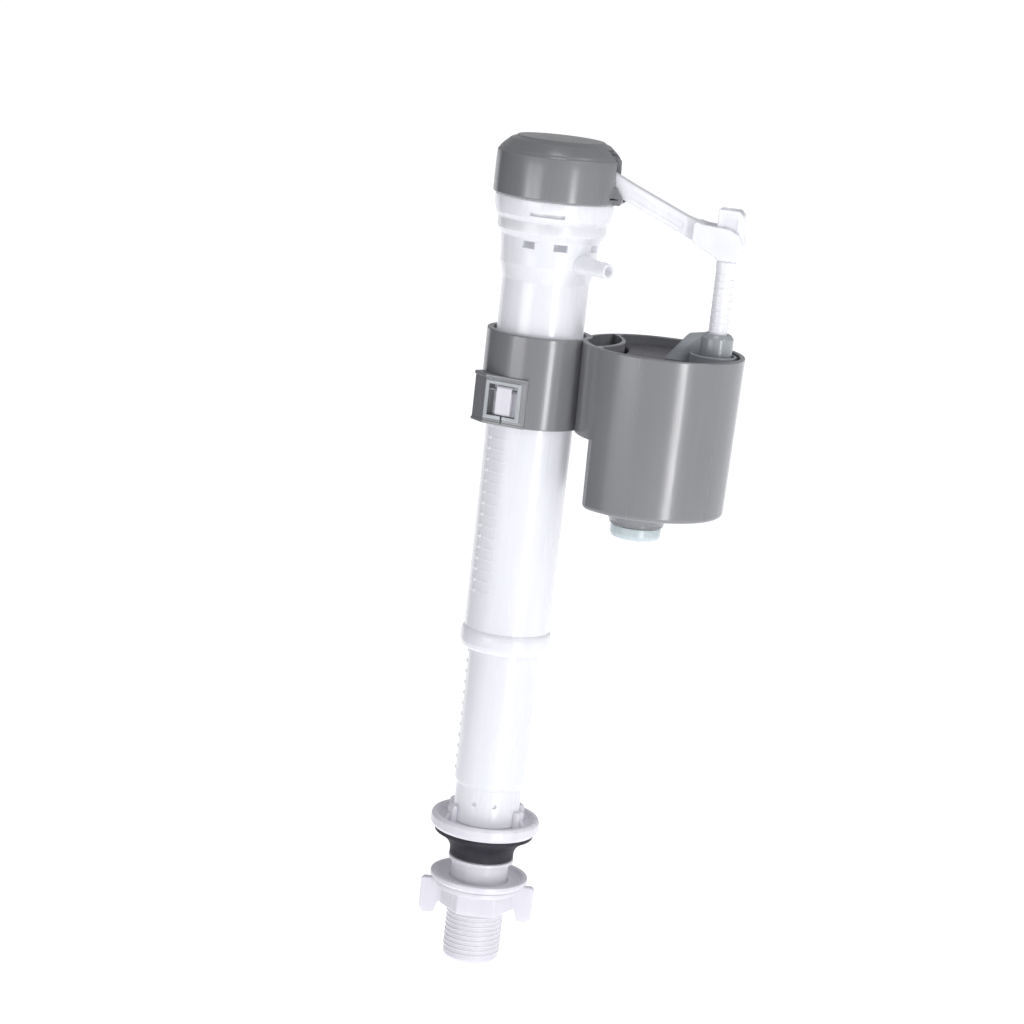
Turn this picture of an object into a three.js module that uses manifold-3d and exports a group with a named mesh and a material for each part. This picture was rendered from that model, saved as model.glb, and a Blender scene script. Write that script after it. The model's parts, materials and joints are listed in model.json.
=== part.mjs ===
// Bottom-entry toilet fill valve with a telescopic riser, a side float cup and a pilot lever.
// Millimetres, +Z up the riser. The origin is on the shank's axis, in the plane of the
// flange's underside, where the inside floor of the cistern comes. +X points at the float.
import * as THREE from "three";
import { mergeVertices } from "three/addons/utils/BufferGeometryUtils.js";
import Module from "manifold-3d";

// ---- Driving dimensions ----
const GAP = 0.3; // between touching pieces
const SEGMENTS = 24; // round the large turned pieces
const FINE = 12; // round the small ones

// Shank, flange and clamp, below and just above the cistern floor
const SHANK_R = 10.4775; // G 1/2 thread, major radius
const SHANK_END_Z = -49.5;
const SHANK_BORE_R = 6.3;
const FLANGE_R = 19.75;
const FLANGE_TOP_Z = 5.2;
const CONE_TOP_R = 18.2;
const CONE_FOOT_R = 11.7;
const CONE_FOOT_Z = -10.4;
const SLIP_FOOT_Z = -12;
const DISH_R = 17.9;
const DISH_TOP_Z = -17.4;
const NUT_TOP_Z = -20.6;
const NUT_FOOT_Z = -30.3;
const WING_R = 20.8;
const WING_FOOT_Z = -34.4;

// Telescopic tubes
const LOWER_R = 12.75;
const LOWER_BORE_R = 11.3;
const LOWER_NECK_R = 12;
const LOWER_NECK_TOP_Z = 17;
const LOWER_TOP_Z = 125;
const RISER_R = 15.4;
const RISER_BORE_R = 13.9;
const RISER_FOOT_Z = 70.3;
const RING_R = 16.35;
const RING_FOOT_Z = 68.5;
const RING_TOP_Z = 76;
const PIPE_IN_R = 6; // lower supply pipe, outside
const PIPE_OUT_R = 8.2; // upper supply pipe, outside

// Head and cap
const HEAD_R = 20.9;
const HEAD_BORE_R = 18.7;
const HEAD_TOP_Z = 231.3;
const NECK_R = 20;
const NECK_TOP_Z = 234.2;
const CAP_R = 21.95;
const CAP_FOOT_Z = 231.7;
const CAP_TOP_Z = 252.5;
const CAP_WALL = 1.5;
const NOZZLE_ANGLE = -36;
const NOZZLE_TIP = 31; // from the riser's axis
const NOZZLE_Z = 210.3;
const OUTLET_ANGLES = [-105, -66, -15, 30, 75, 120, 165];

// Lever
const PIVOT_X = 12;
const PIVOT_Z = 242.4;
const PIVOT_R = 1.5;
const LEVER_HALF = 2.75;
const FORK_HALF = 6.2;
const ROD_X = 62.7;
const TRUNNION_Z = 222.5;
const TRUNNION_R = 1.8;
const TRUNNION_HALF = 5.3; // the fork's slots are blind, so the trunnions stop inside them

// Adjusting rod and its clip
const ROD_R = 3.5;
const ROD_FOOT_Z = 147;
const CLIP_FOOT_Z = 217.4;
const CLIP_TOP_Z = 235.3;
const CLIP_HALF = 4.35;

// Float cup with its collar, and the float
const CUP_X = 44.5;
const CUP_R = 28.7;
const CUP_FOOT_R = 27.6;
const CUP_WALL = 1.8;
const CUP_TOP_Z = 184;
const CUP_FOOT_Z = 127;
const CUP_EDGE = 1.8; // rounding round the foot
const HOPPER_X = 42.2;
const HOPPER_FOOT_Z = 120.5;
const HOLLOW_R = 29; // the cup's hollow face, about the riser's axis
const HOLLOW_WALL = 1.5;
const CORNER_R = 6.5;
const COLLAR_R = 18.7;
const COLLAR_BORE_R = 16.5;
const COLLAR_FOOT_Z = 151.5;
const FLOAT_TOP_Z = 181;
const FLOAT_FOOT_Z = 133;
const FLOAT_PLAY = 1.1;
const BOSS_TOP_Z = 191.8;
const LATCH_ANGLE = -100; // the way the latch housing faces
const LATCH_Y = -3.7; // the tongue's middle, along the housing's face
const LATCH_HALF = 3.1;
const LATCH_FACE = 18.9; // from the riser's axis
const LATCH_PIN_X = 17.75;
const LATCH_PIN_Z = 163.9;
const LATCH_PIN_R = 0.6;
const RACK_ANGLE = -124;
const RACK_PITCH = 4;
const TUBE_RACK_ANGLE = -169;

// ---- Materials ----
const finish = (color, roughness, extra = {}) =>
  new THREE.MeshStandardMaterial({ color, roughness, metalness: 0, ...extra });
const milkyPlastic = () => finish(0xf1f2f5, 0.35);
const paleGreyPlastic = () => finish(0xe2e1ea, 0.4);
const greyPlastic = () => finish(0x8a8b8f, 0.35);
const blackRubber = () => finish(0x2c2b33, 0.75);
const clearSilicone = () => finish(0xd8d8de, 0.5);

// ---- Solids ----
const wasm = await Module();
wasm.setup();

function solidOf(geometry) {
  const bare = geometry.clone();
  bare.deleteAttribute("normal");
  bare.deleteAttribute("uv");
  const merged = mergeVertices(bare, 1e-4);
  return new wasm.Manifold(
    new wasm.Mesh({
      numProp: 3,
      vertProperties: merged.attributes.position.array,
      triVerts: new Uint32Array(merged.index.array),
    }),
  );
}

function geometryOf(solid) {
  const { numProp, numVert, vertProperties, triVerts } = solid.getMesh();
  const places = new Float32Array(numVert * 3);
  for (let i = 0; i < numVert; i++) {
    places.set(vertProperties.subarray(i * numProp, i * numProp + 3), i * 3);
  }
  const geometry = new THREE.BufferGeometry();
  geometry.setAttribute("position", new THREE.BufferAttribute(places, 3));
  geometry.setIndex(new THREE.BufferAttribute(new Uint32Array(triVerts), 1));
  geometry.computeVertexNormals();
  return geometry;
}

const join = (...shapes) =>
  geometryOf(shapes.map(solidOf).reduce((a, b) => a.add(b)));
const cut = (shape, ...tools) =>
  geometryOf(tools.map(solidOf).reduce((a, b) => a.subtract(b), solidOf(shape)));
const common = (a, b) => geometryOf(solidOf(a).intersect(solidOf(b)));

// A solid turned about Z from a closed outline of [radius, z] points.
function turned(outline, segments = SEGMENTS) {
  const points = outline.map(([r, z]) => new THREE.Vector2(r, z));
  if (THREE.ShapeUtils.area(points) < 0) points.reverse();
  points.push(points[0].clone());
  return new THREE.LatheGeometry(points, segments).rotateX(Math.PI / 2);
}

const drum = (radius, z0, z1, segments = SEGMENTS) =>
  turned([[0, z0], [radius, z0], [radius, z1], [0, z1]], segments);

const sleeve = (bore, radius, z0, z1, segments = SEGMENTS) =>
  turned([[bore, z0], [radius, z0], [radius, z1], [bore, z1]], segments);

function block(x0, x1, y0, y1, z0, z1) {
  const box = new THREE.BoxGeometry(x1 - x0, y1 - y0, z1 - z0);
  return box.translate((x0 + x1) / 2, (y0 + y1) / 2, (z0 + z1) / 2);
}

// A plate with an outline of [x, z] points, from y0 to y1.
function plate(outline, y0, y1) {
  const shape = new THREE.Shape(outline.map(([x, z]) => new THREE.Vector2(x, z)));
  const geometry = new THREE.ExtrudeGeometry(shape, { depth: y1 - y0, bevelEnabled: false });
  return geometry.rotateX(Math.PI / 2).translate(0, y1, 0);
}

function slab(shape, z0, z1) {
  const settings = { depth: z1 - z0, bevelEnabled: false, curveSegments: 12 };
  return new THREE.ExtrudeGeometry(shape, settings).translate(0, 0, z0);
}

// A round bar along Y, centred on x and z.
const crossbar = (radius, x, z, y0, y1) =>
  drum(radius, y0, y1, FINE).rotateX(-Math.PI / 2).translate(x, 0, z);

const degrees = THREE.MathUtils.degToRad;
const spun = (geometry, angle) => geometry.rotateZ(degrees(angle));

// The copies of one shape, turned to each angle in degrees.
const ringOf = (angles, shape) => join(...angles.map((angle) => spun(shape(), angle)));

const evenly = (count, start = 0) =>
  Array.from({ length: count }, (_, i) => start + (i * 360) / count);

// A wedge of the space round Z, half an angle each side of a direction.
function wedge(angle, halfAngle, reach, z0, z1) {
  const shape = new THREE.Shape();
  shape.moveTo(0, 0);
  shape.lineTo(reach, -reach * Math.tan(degrees(halfAngle)));
  shape.lineTo(reach, reach * Math.tan(degrees(halfAngle)));
  return spun(slab(shape, z0, z1), angle);
}

// Rows of teeth on a cylinder, kept inside a wedge.
function rack(radius, height, pitch, z0, count, angle, halfAngle) {
  const root = radius - 0.6;
  const outline = [[root, z0]];
  for (let i = 0; i < count; i++) {
    const foot = z0 + i * pitch;
    outline.push([radius - 0.1, foot + pitch * 0.3]);
    outline.push([radius + height, foot + pitch * 0.5]);
    outline.push([radius - 0.1, foot + pitch * 0.7]);
  }
  const top = z0 + count * pitch;
  outline.push([root, top]);
  return common(turned(outline), wedge(angle, halfAngle, radius * 2, z0 - 1, top + 1));
}

// ---- The base, fixed in the cistern floor ----

function inletShank() {
  const spigotTop = 14;
  const body = turned([
    [SHANK_BORE_R, SHANK_END_Z],
    [SHANK_R - 1.1, SHANK_END_Z],
    [SHANK_R, SHANK_END_Z + 1.2],
    [SHANK_R, 0],
    [FLANGE_R - 1.15, 0],
    [FLANGE_R, 1.3],
    [FLANGE_R, FLANGE_TOP_Z - 1],
    [FLANGE_R - 0.5, FLANGE_TOP_Z],
    [FLANGE_R - 1.5, FLANGE_TOP_Z],
    [FLANGE_R - 2.8, 3.6],
    [LOWER_NECK_R + 1, 3],
    [LOWER_NECK_R - 1.6, 3],
    [LOWER_NECK_R - 1.6, spigotTop],
    [SHANK_BORE_R, spigotTop],
  ]);
  const lug = () =>
    join(
      block(LOWER_NECK_R + 0.4, LOWER_NECK_R + 1.9, -2.4, 2.4, 2.8, 9),
      block(LOWER_NECK_R + 0.4, LOWER_NECK_R + 4.4, -1, 1, 2.8, 6),
    );
  return join(body, ringOf([-145, -16, 35, 164], lug));
}

function coneWasher() {
  const profile = [[SHANK_R + GAP, CONE_FOOT_Z], [CONE_FOOT_R, CONE_FOOT_Z]];
  const steps = 7;
  for (let i = 0; i <= steps; i++) {
    const up = i / steps;
    const flare = Math.pow(up, 2.2);
    profile.push([
      CONE_FOOT_R + (CONE_TOP_R - CONE_FOOT_R) * flare,
      CONE_FOOT_Z + 1.5 + (-1.6 - CONE_FOOT_Z - 1.5) * up,
    ]);
  }
  profile.push([CONE_TOP_R, -GAP], [SHANK_R + GAP, -GAP]);
  return turned(profile);
}

const slipWasher = () => sleeve(SHANK_R + GAP, CONE_FOOT_R + 0.3, SLIP_FOOT_Z, CONE_FOOT_Z - GAP);

function inletStrainer() {
  const basket = turned(
    [
      [0, -24],
      [5.6, -24],
      [5.6, -36.5],
      [4.6, -36.5],
      [4.6, -25],
      [0, -25],
    ],
    FINE,
  );
  const rim = sleeve(4.6, SHANK_BORE_R - GAP, -37.8, -36.4, FINE);
  const slot = () => block(3, 7, -0.6, 0.6, -35, -26.5);
  return cut(join(basket, rim), ...evenly(6).map((angle) => spun(slot(), angle)));
}

const flowRestrictor = () =>
  cut(
    drum(SHANK_BORE_R - GAP, -16, -13, FINE),
    ...evenly(6).map((angle) => spun(drum(1.1, -17, -12, 8).translate(3.6, 0, 0), angle)),
  );

function lowerTube() {
  const wall = turned([
    [LOWER_NECK_R - 1.3, 3.4],
    [LOWER_NECK_R, 3.4],
    [LOWER_NECK_R, LOWER_NECK_TOP_Z],
    [LOWER_R, LOWER_NECK_TOP_Z + 1.5],
    [LOWER_R, LOWER_TOP_Z - 1],
    [LOWER_R - 0.5, LOWER_TOP_Z],
    [LOWER_BORE_R, LOWER_TOP_Z],
    [LOWER_BORE_R, LOWER_NECK_TOP_Z + 1.5],
    [LOWER_NECK_R - 1.3, LOWER_NECK_TOP_Z],
  ]);
  const teeth = rack(LOWER_R, 0.5, RACK_PITCH, LOWER_NECK_TOP_Z + 3, 25, TUBE_RACK_ANGLE, 8);
  const snapHole = (angle) =>
    spun(drum(0.9, 8, 16, 10).rotateY(Math.PI / 2).translate(0, 0, 11.7), angle);
  return cut(join(wall, teeth), snapHole(-102), snapHole(-66));
}

const lowerSupplyPipe = () =>
  turned(
    [
      [PIPE_IN_R - 1.4, 2],
      [PIPE_IN_R, 2],
      [PIPE_IN_R, 145],
      [PIPE_IN_R - 0.8, 145],
      [PIPE_IN_R - 0.8, 147.6],
      [PIPE_IN_R, 147.6],
      [PIPE_IN_R, 150],
      [PIPE_IN_R - 1.4, 150],
    ],
    FINE,
  );

const pipeORing = () => sleeve(PIPE_IN_R - 0.5, PIPE_IN_R + 0.45, 145.3, 147.3, FINE);

// ---- The clamp below the cistern floor ----

const pressureWasher = () =>
  turned([
    [SHANK_R + GAP, -20.3],
    [DISH_R - 2.2, -20.3],
    [DISH_R, -19],
    [DISH_R, DISH_TOP_Z],
    [DISH_R - 1.6, DISH_TOP_Z],
    [DISH_R - 2.3, -18.2],
    [SHANK_R + GAP, -19],
  ]);

function lockNut() {
  const collar = drum(15.6, NUT_TOP_Z - 1.6, NUT_TOP_Z);
  const hex = drum(13.8, NUT_FOOT_Z, NUT_TOP_Z - 1, 6).rotateZ(degrees(11));
  const wing = () =>
    plate(
      [
        [11.4, NUT_TOP_Z - 0.3],
        [WING_R - 0.6, NUT_TOP_Z - 0.3],
        [WING_R, NUT_TOP_Z - 1.2],
        [WING_R, WING_FOOT_Z + 2],
        [WING_R - 1.6, WING_FOOT_Z],
        [WING_R - 5.6, WING_FOOT_Z],
        [WING_R - 6.6, NUT_FOOT_Z + 0.6],
        [11.4, NUT_FOOT_Z + 0.6],
      ],
      -1.5,
      1.5,
    );
  return cut(
    join(collar, hex, ringOf([11, 191], wing)),
    drum(SHANK_R + GAP, NUT_FOOT_Z - 1, NUT_TOP_Z + 1),
  );
}

// ---- The riser ----

function nozzle() {
  const root = 3.3;
  const tip = 2.6;
  const spout = turned([[0, 13], [root, 13], [root, 20], [tip, NOZZLE_TIP], [0, NOZZLE_TIP]], FINE);
  return spun(spout.rotateY(Math.PI / 2).translate(0, 0, NOZZLE_Z), NOZZLE_ANGLE);
}

function riserTube() {
  const wall = turned([
    [RISER_BORE_R, RISER_FOOT_Z],
    [RISER_R - 0.5, RISER_FOOT_Z],
    [RISER_R - 0.5, RING_TOP_Z + 0.1],
    [RISER_R, RING_TOP_Z + 0.4],
    [RISER_R, 203],
    [16.2, 205.5],
    [16.9, 208],
    [17, 214],
    [17.5, 217],
    [19, 219.3],
    [19.2, 222.6],
    [20.3, 225],
    [20.7, 228],
    [HEAD_R, 229],
    [HEAD_R, HEAD_TOP_Z],
    [NECK_R, HEAD_TOP_Z],
    [NECK_R, NECK_TOP_Z],
    [HEAD_BORE_R, NECK_TOP_Z],
    [HEAD_BORE_R, 221.6],
    [15.3, 219],
    [15.2, 206],
    [RISER_BORE_R, 203],
  ]);
  const teeth = rack(RISER_R, 0.65, RACK_PITCH, 88, 22, RACK_ANGLE, 20);
  const outlet = () => block(13, 19, -2.4, 2.4, 214.4, 216.8);
  const slot = wedge(-85, 18, 30, 225.9, 227.3);
  const bore = spun(
    drum(1.8, 12, NOZZLE_TIP + 1, FINE).rotateY(Math.PI / 2).translate(0, 0, NOZZLE_Z),
    NOZZLE_ANGLE,
  );
  const hollow = drum(RISER_BORE_R + 0.1, 180, 212);
  return cut(
    join(wall, teeth, cut(nozzle(), hollow)),
    ...OUTLET_ANGLES.map((angle) => spun(outlet(), angle)),
    slot,
    bore,
  );
}

const lockRing = () =>
  turned([
    [RISER_BORE_R + 0.05, RING_FOOT_Z],
    [RING_R - 0.9, RING_FOOT_Z],
    [RING_R - 0.2, RING_FOOT_Z + 0.8],
    [RING_R, RING_FOOT_Z + 2.2],
    [RING_R, RING_TOP_Z - 2],
    [RING_R - 0.3, RING_TOP_Z - 0.7],
    [RING_R - 0.9, RING_TOP_Z],
    [RISER_R - 0.2, RING_TOP_Z],
    [RISER_R - 0.2, RISER_FOOT_Z - GAP],
    [RISER_BORE_R + 0.05, RISER_FOOT_Z - GAP],
  ]);

const upperSupplyPipe = () => sleeve(PIPE_IN_R + 0.6, PIPE_OUT_R, 66, 214, FINE);

function valveSeat() {
  const body = turned([
    [PIPE_OUT_R + GAP, 205],
    [10, 205],
    [10, 217],
    [14.8, 218],
    [14.8, 219.4],
    [7, 219.4],
    [6.2, 221.4],
    [4.4, 221.4],
    [4.4, 214.4],
    [PIPE_OUT_R + GAP, 214.4],
  ]);
  const spill = () => drum(1.6, 216, 221, 8).translate(12, 0, 0);
  return cut(body, ...evenly(6).map((angle) => spun(spill(), angle)));
}

const diaphragm = () =>
  turned([
    [4, 221.9],
    [14.4, 221.9],
    [15.2, 221.9],
    [HEAD_BORE_R - GAP, 222.2],
    [HEAD_BORE_R - GAP, 223.3],
    [15, 223.3],
    [13, 222.9],
    [4, 222.9],
  ]);

function diaphragmInsert() {
  const stem = [[0, 221.9], [1.2, 221.9], [3.6, 223.4], [3.6, 224.4]];
  const head = [[6.5, 224.4], [6.5, 225.8], [0, 225.8]];
  return turned([...stem, ...head], FINE);
}

function valveBonnet() {
  const outer = HEAD_BORE_R - GAP;
  const body = turned([
    [10, 223.7],
    [outer, 223.7],
    [outer, 230.4],
    [outer - 1, 230.4],
    [outer - 1, 232.6],
    [outer, 232.6],
    [outer, 233.8],
    [outer - 2.4, 233.8],
    [outer - 4, 231.4],
    [3, 231.4],
    [2, 236.3],
    [0.8, 236.3],
    [0.8, 228.6],
    [10, 228.6],
  ]);
  const ear = (y0, y1) =>
    plate(
      [[8, 231], [16, 231], [15.2, 244], [13.8, 245.4], [10.2, 245.4], [8.8, 244]],
      y0,
      y1,
    );
  return cut(
    join(body, ear(3.2, 5.4), ear(-5.4, -3.2)),
    crossbar(PIVOT_R + GAP, PIVOT_X, PIVOT_Z, -8, 8),
  );
}

const bonnetORing = () => sleeve(HEAD_BORE_R - 1.1, HEAD_BORE_R - 0.15, 230.7, 232.3);

const pivotPin = () => crossbar(PIVOT_R, PIVOT_X, PIVOT_Z, -7.4, 7.4);

function headCap() {
  const inner = CAP_R - CAP_WALL;
  const skin = turned([
    [inner, CAP_FOOT_Z],
    [CAP_R, CAP_FOOT_Z],
    [CAP_R, 240],
    [CAP_R - 0.3, 244.7],
    [CAP_R - 1, 247.2],
    [CAP_R - 2.3, 249.3],
    [CAP_R - 4.2, 250.7],
    [CAP_R - 5.2, 250.9],
    [CAP_R - 6.4, 252],
    [CAP_R - 9, CAP_TOP_Z],
    [0, CAP_TOP_Z],
    [0, CAP_TOP_Z - CAP_WALL],
    [CAP_R - 9, 251],
    [CAP_R - 6.4, 249.8],
    [inner - 2, 248.4],
    [inner - 0.5, 246],
    [inner, 243],
  ]);
  const lip = join(
    block(18, 24.6, -5.2, 5.2, CAP_FOOT_Z, CAP_FOOT_Z + 1),
    plate([[18, CAP_FOOT_Z], [24.6, CAP_FOOT_Z], [24.6, 234.6], [21, 238], [18, 238]], 3.8, 5.2),
    plate([[18, CAP_FOOT_Z], [24.6, CAP_FOOT_Z], [24.6, 234.6], [21, 238], [18, 238]], -5.2, -3.8),
  );
  const slot = block(12, 26, -3.8, 3.8, CAP_FOOT_Z + 1, 249);
  return cut(join(skin, cut(lip, drum(inner, 230, 240))), slot);
}

// ---- The lever, with the pilot seal in its short arm ----

function lever() {
  const arm = plate(
    [
      [-2.6, 241.6],
      [7, 239.6],
      [14, 238.3],
      [27.9, 232.3],
      [47.6, 224.1],
      [53, 221.8],
      [53, 229.7],
      [47.6, 231.1],
      [27.9, 239.3],
      [13, 246],
      [7, 246.6],
      [-2.6, 246],
    ],
    -LEVER_HALF,
    LEVER_HALF,
  );
  const fork = plate(
    [
      [50.5, 222.9],
      [55, 220.7],
      [59.5, 218.3],
      [63.5, 217.8],
      [67, 219.6],
      [68.2, 223],
      [66.8, 227],
      [63, 228.8],
      [54, 229.4],
      [50.5, 230.3],
    ],
    -FORK_HALF,
    FORK_HALF,
  );
  const clipRoom = block(53.8, 70, -4.65, 4.65, 214, 234);
  const slope = Math.atan2(TRUNNION_Z - PIVOT_Z, ROD_X - PIVOT_X);
  const slotR = TRUNNION_R + 0.4;
  const slotHalf = TRUNNION_HALF + GAP;
  const slot = join(
    crossbar(slotR, 0.2, 0, -slotHalf, slotHalf),
    crossbar(slotR, -3.4, 0, -slotHalf, slotHalf),
    block(-3.4, 0.2, -slotHalf, slotHalf, -slotR, slotR),
  );
  slot.rotateY(-slope).translate(ROD_X, 0, TRUNNION_Z);
  return cut(
    join(arm, cut(fork, clipRoom)),
    slot,
    crossbar(PIVOT_R + GAP, PIVOT_X, PIVOT_Z, -8, 8),
    drum(1.9, 240, 243.4, FINE),
  );
}

function pilotSeal() {
  const face = [[0, 239.5], [2.4, 239.5], [2.4, 240.2]];
  const plug = [[1.6, 241], [1.6, 243], [0, 243]];
  return turned([...face, ...plug], FINE);
}

// ---- The clip and the adjusting rod, drawn about the rod's own axis ----

function rodClip() {
  const half = CLIP_HALF;
  const body = plate(
    [
      [-half, CLIP_FOOT_Z + 2],
      [-half + 1, CLIP_FOOT_Z],
      [half - 1, CLIP_FOOT_Z],
      [half, CLIP_FOOT_Z + 2],
      [half, CLIP_TOP_Z - 1.6],
      [half - 1.6, CLIP_TOP_Z],
      [-half, CLIP_TOP_Z],
    ],
    -4.35,
    4.35,
  );
  return cut(
    join(body, crossbar(TRUNNION_R, 0, TRUNNION_Z, -TRUNNION_HALF, TRUNNION_HALF)),
    drum(3.2, CLIP_FOOT_Z - 1, CLIP_TOP_Z + 1, FINE),
    drum(3.8, 231, CLIP_TOP_Z + 1, FINE),
  );
}

function adjustingRod() {
  const body = turned(
    [
      [0, ROD_FOOT_Z],
      [ROD_R - 0.8, ROD_FOOT_Z],
      [ROD_R, ROD_FOOT_Z + 1],
      [ROD_R, CLIP_FOOT_Z - GAP],
      [2.9, CLIP_FOOT_Z - GAP],
      [2.9, 231.3],
      [3.5, 231.3],
      [3.5, 234.4],
      [0, 234.4],
    ],
    FINE,
  );
  return cut(body, block(-5, 5, -0.5, 0.5, 233.2, 236));
}

// ---- The float cup on its collar ----

// The plan of the cup or of the float: a circle about the cup's axis with a hollow face about
// the riser's axis, and rounded corners where the two meet.
function cupPlan(radius, hollow, corner) {
  const reach = hollow + corner;
  const inset = radius - corner;
  const x = (reach * reach - inset * inset + CUP_X * CUP_X) / (2 * CUP_X);
  const y = Math.sqrt(reach * reach - x * x);
  const onCup = Math.atan2(y, x - CUP_X);
  const onHollow = Math.atan2(y, x);
  const shape = new THREE.Shape();
  shape.absarc(CUP_X, 0, radius, -onCup, onCup, false);
  shape.absarc(x, y, corner, onCup, onHollow + Math.PI, false);
  shape.absarc(0, 0, hollow, onHollow, -onHollow, true);
  shape.absarc(x, -y, corner, Math.PI - onHollow, 2 * Math.PI - onCup, false);
  return shape;
}

function cupBarrel(topR, footR, z0, z1, edge) {
  return turned(
    [
      [0, z0],
      [footR - edge, z0],
      [footR - edge * 0.3, z0 + edge * 0.3],
      [footR, z0 + edge],
      [topR, z1],
      [0, z1],
    ],
    SEGMENTS + 8,
  ).translate(CUP_X, 0, 0);
}

// Turns a shape drawn on the latch housing's face round to where the housing is.
const atLatch = (shape) => spun(shape, LATCH_ANGLE);

function latchPlan(spread) {
  const shape = new THREE.Shape();
  shape.moveTo(12, 5.4);
  shape.lineTo(17.4, 5.4);
  shape.lineTo(LATCH_FACE + spread, 4.7);
  shape.lineTo(LATCH_FACE + spread, -10.8 - spread * 0.3);
  shape.lineTo(14.8 + spread, -16.6 - spread);
  shape.lineTo(12.2, -15.4);
  return shape;
}

const latchHousing = () =>
  atLatch(join(slab(latchPlan(0), COLLAR_FOOT_Z, 169), slab(latchPlan(0.5), 167.7, 169)));

const latchBar = (radius, reach) =>
  crossbar(radius, LATCH_PIN_X, LATCH_PIN_Z, LATCH_Y - reach, LATCH_Y + reach);

function floatCup() {
  const plan = cupPlan(CUP_R, HOLLOW_R, CORNER_R);
  const barrel = cupBarrel(CUP_R, CUP_FOOT_R, CUP_FOOT_Z, CUP_TOP_Z, CUP_EDGE);
  const cupOutside = common(slab(plan, CUP_FOOT_Z - 1, CUP_TOP_Z + 1), barrel);
  const shoulder = common(barrel, block(0, 60, -30, 30, COLLAR_FOOT_Z, CUP_TOP_Z));
  const cone = [[9.7, HOPPER_FOOT_Z], [9.9, 122.2], [11.5, 124.6], [14.2, 127.4], [14.2, 130]];
  const hopper = common(
    turned([[0, HOPPER_FOOT_Z], ...cone, [0, 130]]).translate(HOPPER_X, 0, 0),
    slab(plan, HOPPER_FOOT_Z - 1, 131),
  );
  const outside = join(
    cupOutside,
    shoulder,
    hopper,
    drum(COLLAR_R, COLLAR_FOOT_Z, CUP_TOP_Z),
    latchHousing(),
  );
  const innerBarrel = cupBarrel(
    CUP_R - CUP_WALL,
    CUP_FOOT_R - CUP_WALL,
    CUP_FOOT_Z + CUP_WALL,
    CUP_TOP_Z + 1,
    1.4,
  );
  const innerPlan = cupPlan(CUP_R - CUP_WALL, HOLLOW_R + HOLLOW_WALL, CORNER_R - 1.5);
  const chamber = common(slab(innerPlan, CUP_FOOT_Z, CUP_TOP_Z + 2), innerBarrel);
  const pocket = common(
    innerBarrel,
    sleeve(COLLAR_R, HOLLOW_R, COLLAR_FOOT_Z + 1.6, CUP_TOP_Z + 2),
  );
  const throat = [[8.3, 122], [8.5, 123.2], [10, 125.4], [11.8, 127.4], [11.8, 131]];
  const funnel = turned([[0, 122], ...throat, [0, 131]]).translate(HOPPER_X, 0, 0);
  const drainHole = () => drum(1.7, 119, 123, 10).translate(5.4, 0, 0);
  const stemHole = drum(2.1, 119, 123, FINE);
  const drain = join(stemHole, ringOf(evenly(6), drainHole)).translate(HOPPER_X, 0, 0);
  const window = atLatch(block(13, 26, -9.3, 1.5, 154.8, 165.9));
  const slit = atLatch(block(13, 26, LATCH_Y - 0.6, LATCH_Y + 0.6, COLLAR_FOOT_Z - 1, 156));
  const pinHole = atLatch(latchBar(LATCH_PIN_R + GAP, 6.8));
  const shell = cut(
    outside,
    chamber,
    pocket,
    funnel,
    drain,
    drum(COLLAR_BORE_R, COLLAR_FOOT_Z - 1, CUP_TOP_Z + 1),
    window,
    slit,
    pinHole,
  );
  const guide = () => block(15.75, COLLAR_BORE_R + 0.5, -0.9, 0.9, COLLAR_FOOT_Z + 1, 180);
  return join(shell, ringOf([-60, -5, 50, 110, 170], guide));
}

const latchPin = () => atLatch(latchBar(LATCH_PIN_R, 6.5));

function rackLatch() {
  const body = plate(
    [
      [16.35, 155.6],
      [16.9, 155.2],
      [18.7, 155.2],
      [19.2, 156],
      [19.2, 164.9],
      [18.6, 165.5],
      [16.5, 165.5],
      [16.35, 162],
      [16.9, 161.2],
      [16.9, 160.6],
      [16.35, 159.6],
      [16.9, 158.6],
      [16.9, 156.6],
    ],
    LATCH_Y - LATCH_HALF,
    LATCH_Y + LATCH_HALF,
  );
  return atLatch(cut(body, latchBar(LATCH_PIN_R + GAP, 4)));
}

function floatBlock() {
  const radius = CUP_R - CUP_WALL - FLOAT_PLAY;
  const footRadius = CUP_FOOT_R - CUP_WALL - FLOAT_PLAY;
  const hollow = HOLLOW_R + HOLLOW_WALL + FLOAT_PLAY;
  const body = (shrink, z0, z1, edge) =>
    common(
      slab(cupPlan(radius - shrink, hollow + shrink, CORNER_R - 2 - shrink * 0.6), z0, z1),
      cupBarrel(radius - shrink, footRadius - shrink, z0, z1, edge),
    );
  const gusset = plate(
    [[45.5, 180], [45.5, 181.2], [52.6, 190.4], [58, 191.4], [66, 191.4], [66, 180]],
    -2.8,
    2.8,
  );
  const boss = turned([[0, 168], [5.8, 168], [5.8, 190.8], [4.8, BOSS_TOP_Z], [0, BOSS_TOP_Z]], FINE)
    .translate(ROD_X, 0, 0);
  const foot = drum(8, 180, 183.2, FINE).translate(ROD_X - 0.6, -1, 0);
  return cut(
    join(
      cut(body(0, FLOAT_FOOT_Z, FLOAT_TOP_Z, 2), body(1.4, FLOAT_FOOT_Z - 1, FLOAT_TOP_Z - 1.6, 1)),
      common(join(gusset, foot), cupBarrel(radius, radius, 170, 200, 1)),
      boss,
    ),
    drum(ROD_R + GAP, 160, 200, FINE).translate(ROD_X, 0, 0),
  );
}

// ---- The drain plug under the cup, drawn about the cup's axis ----

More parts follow.
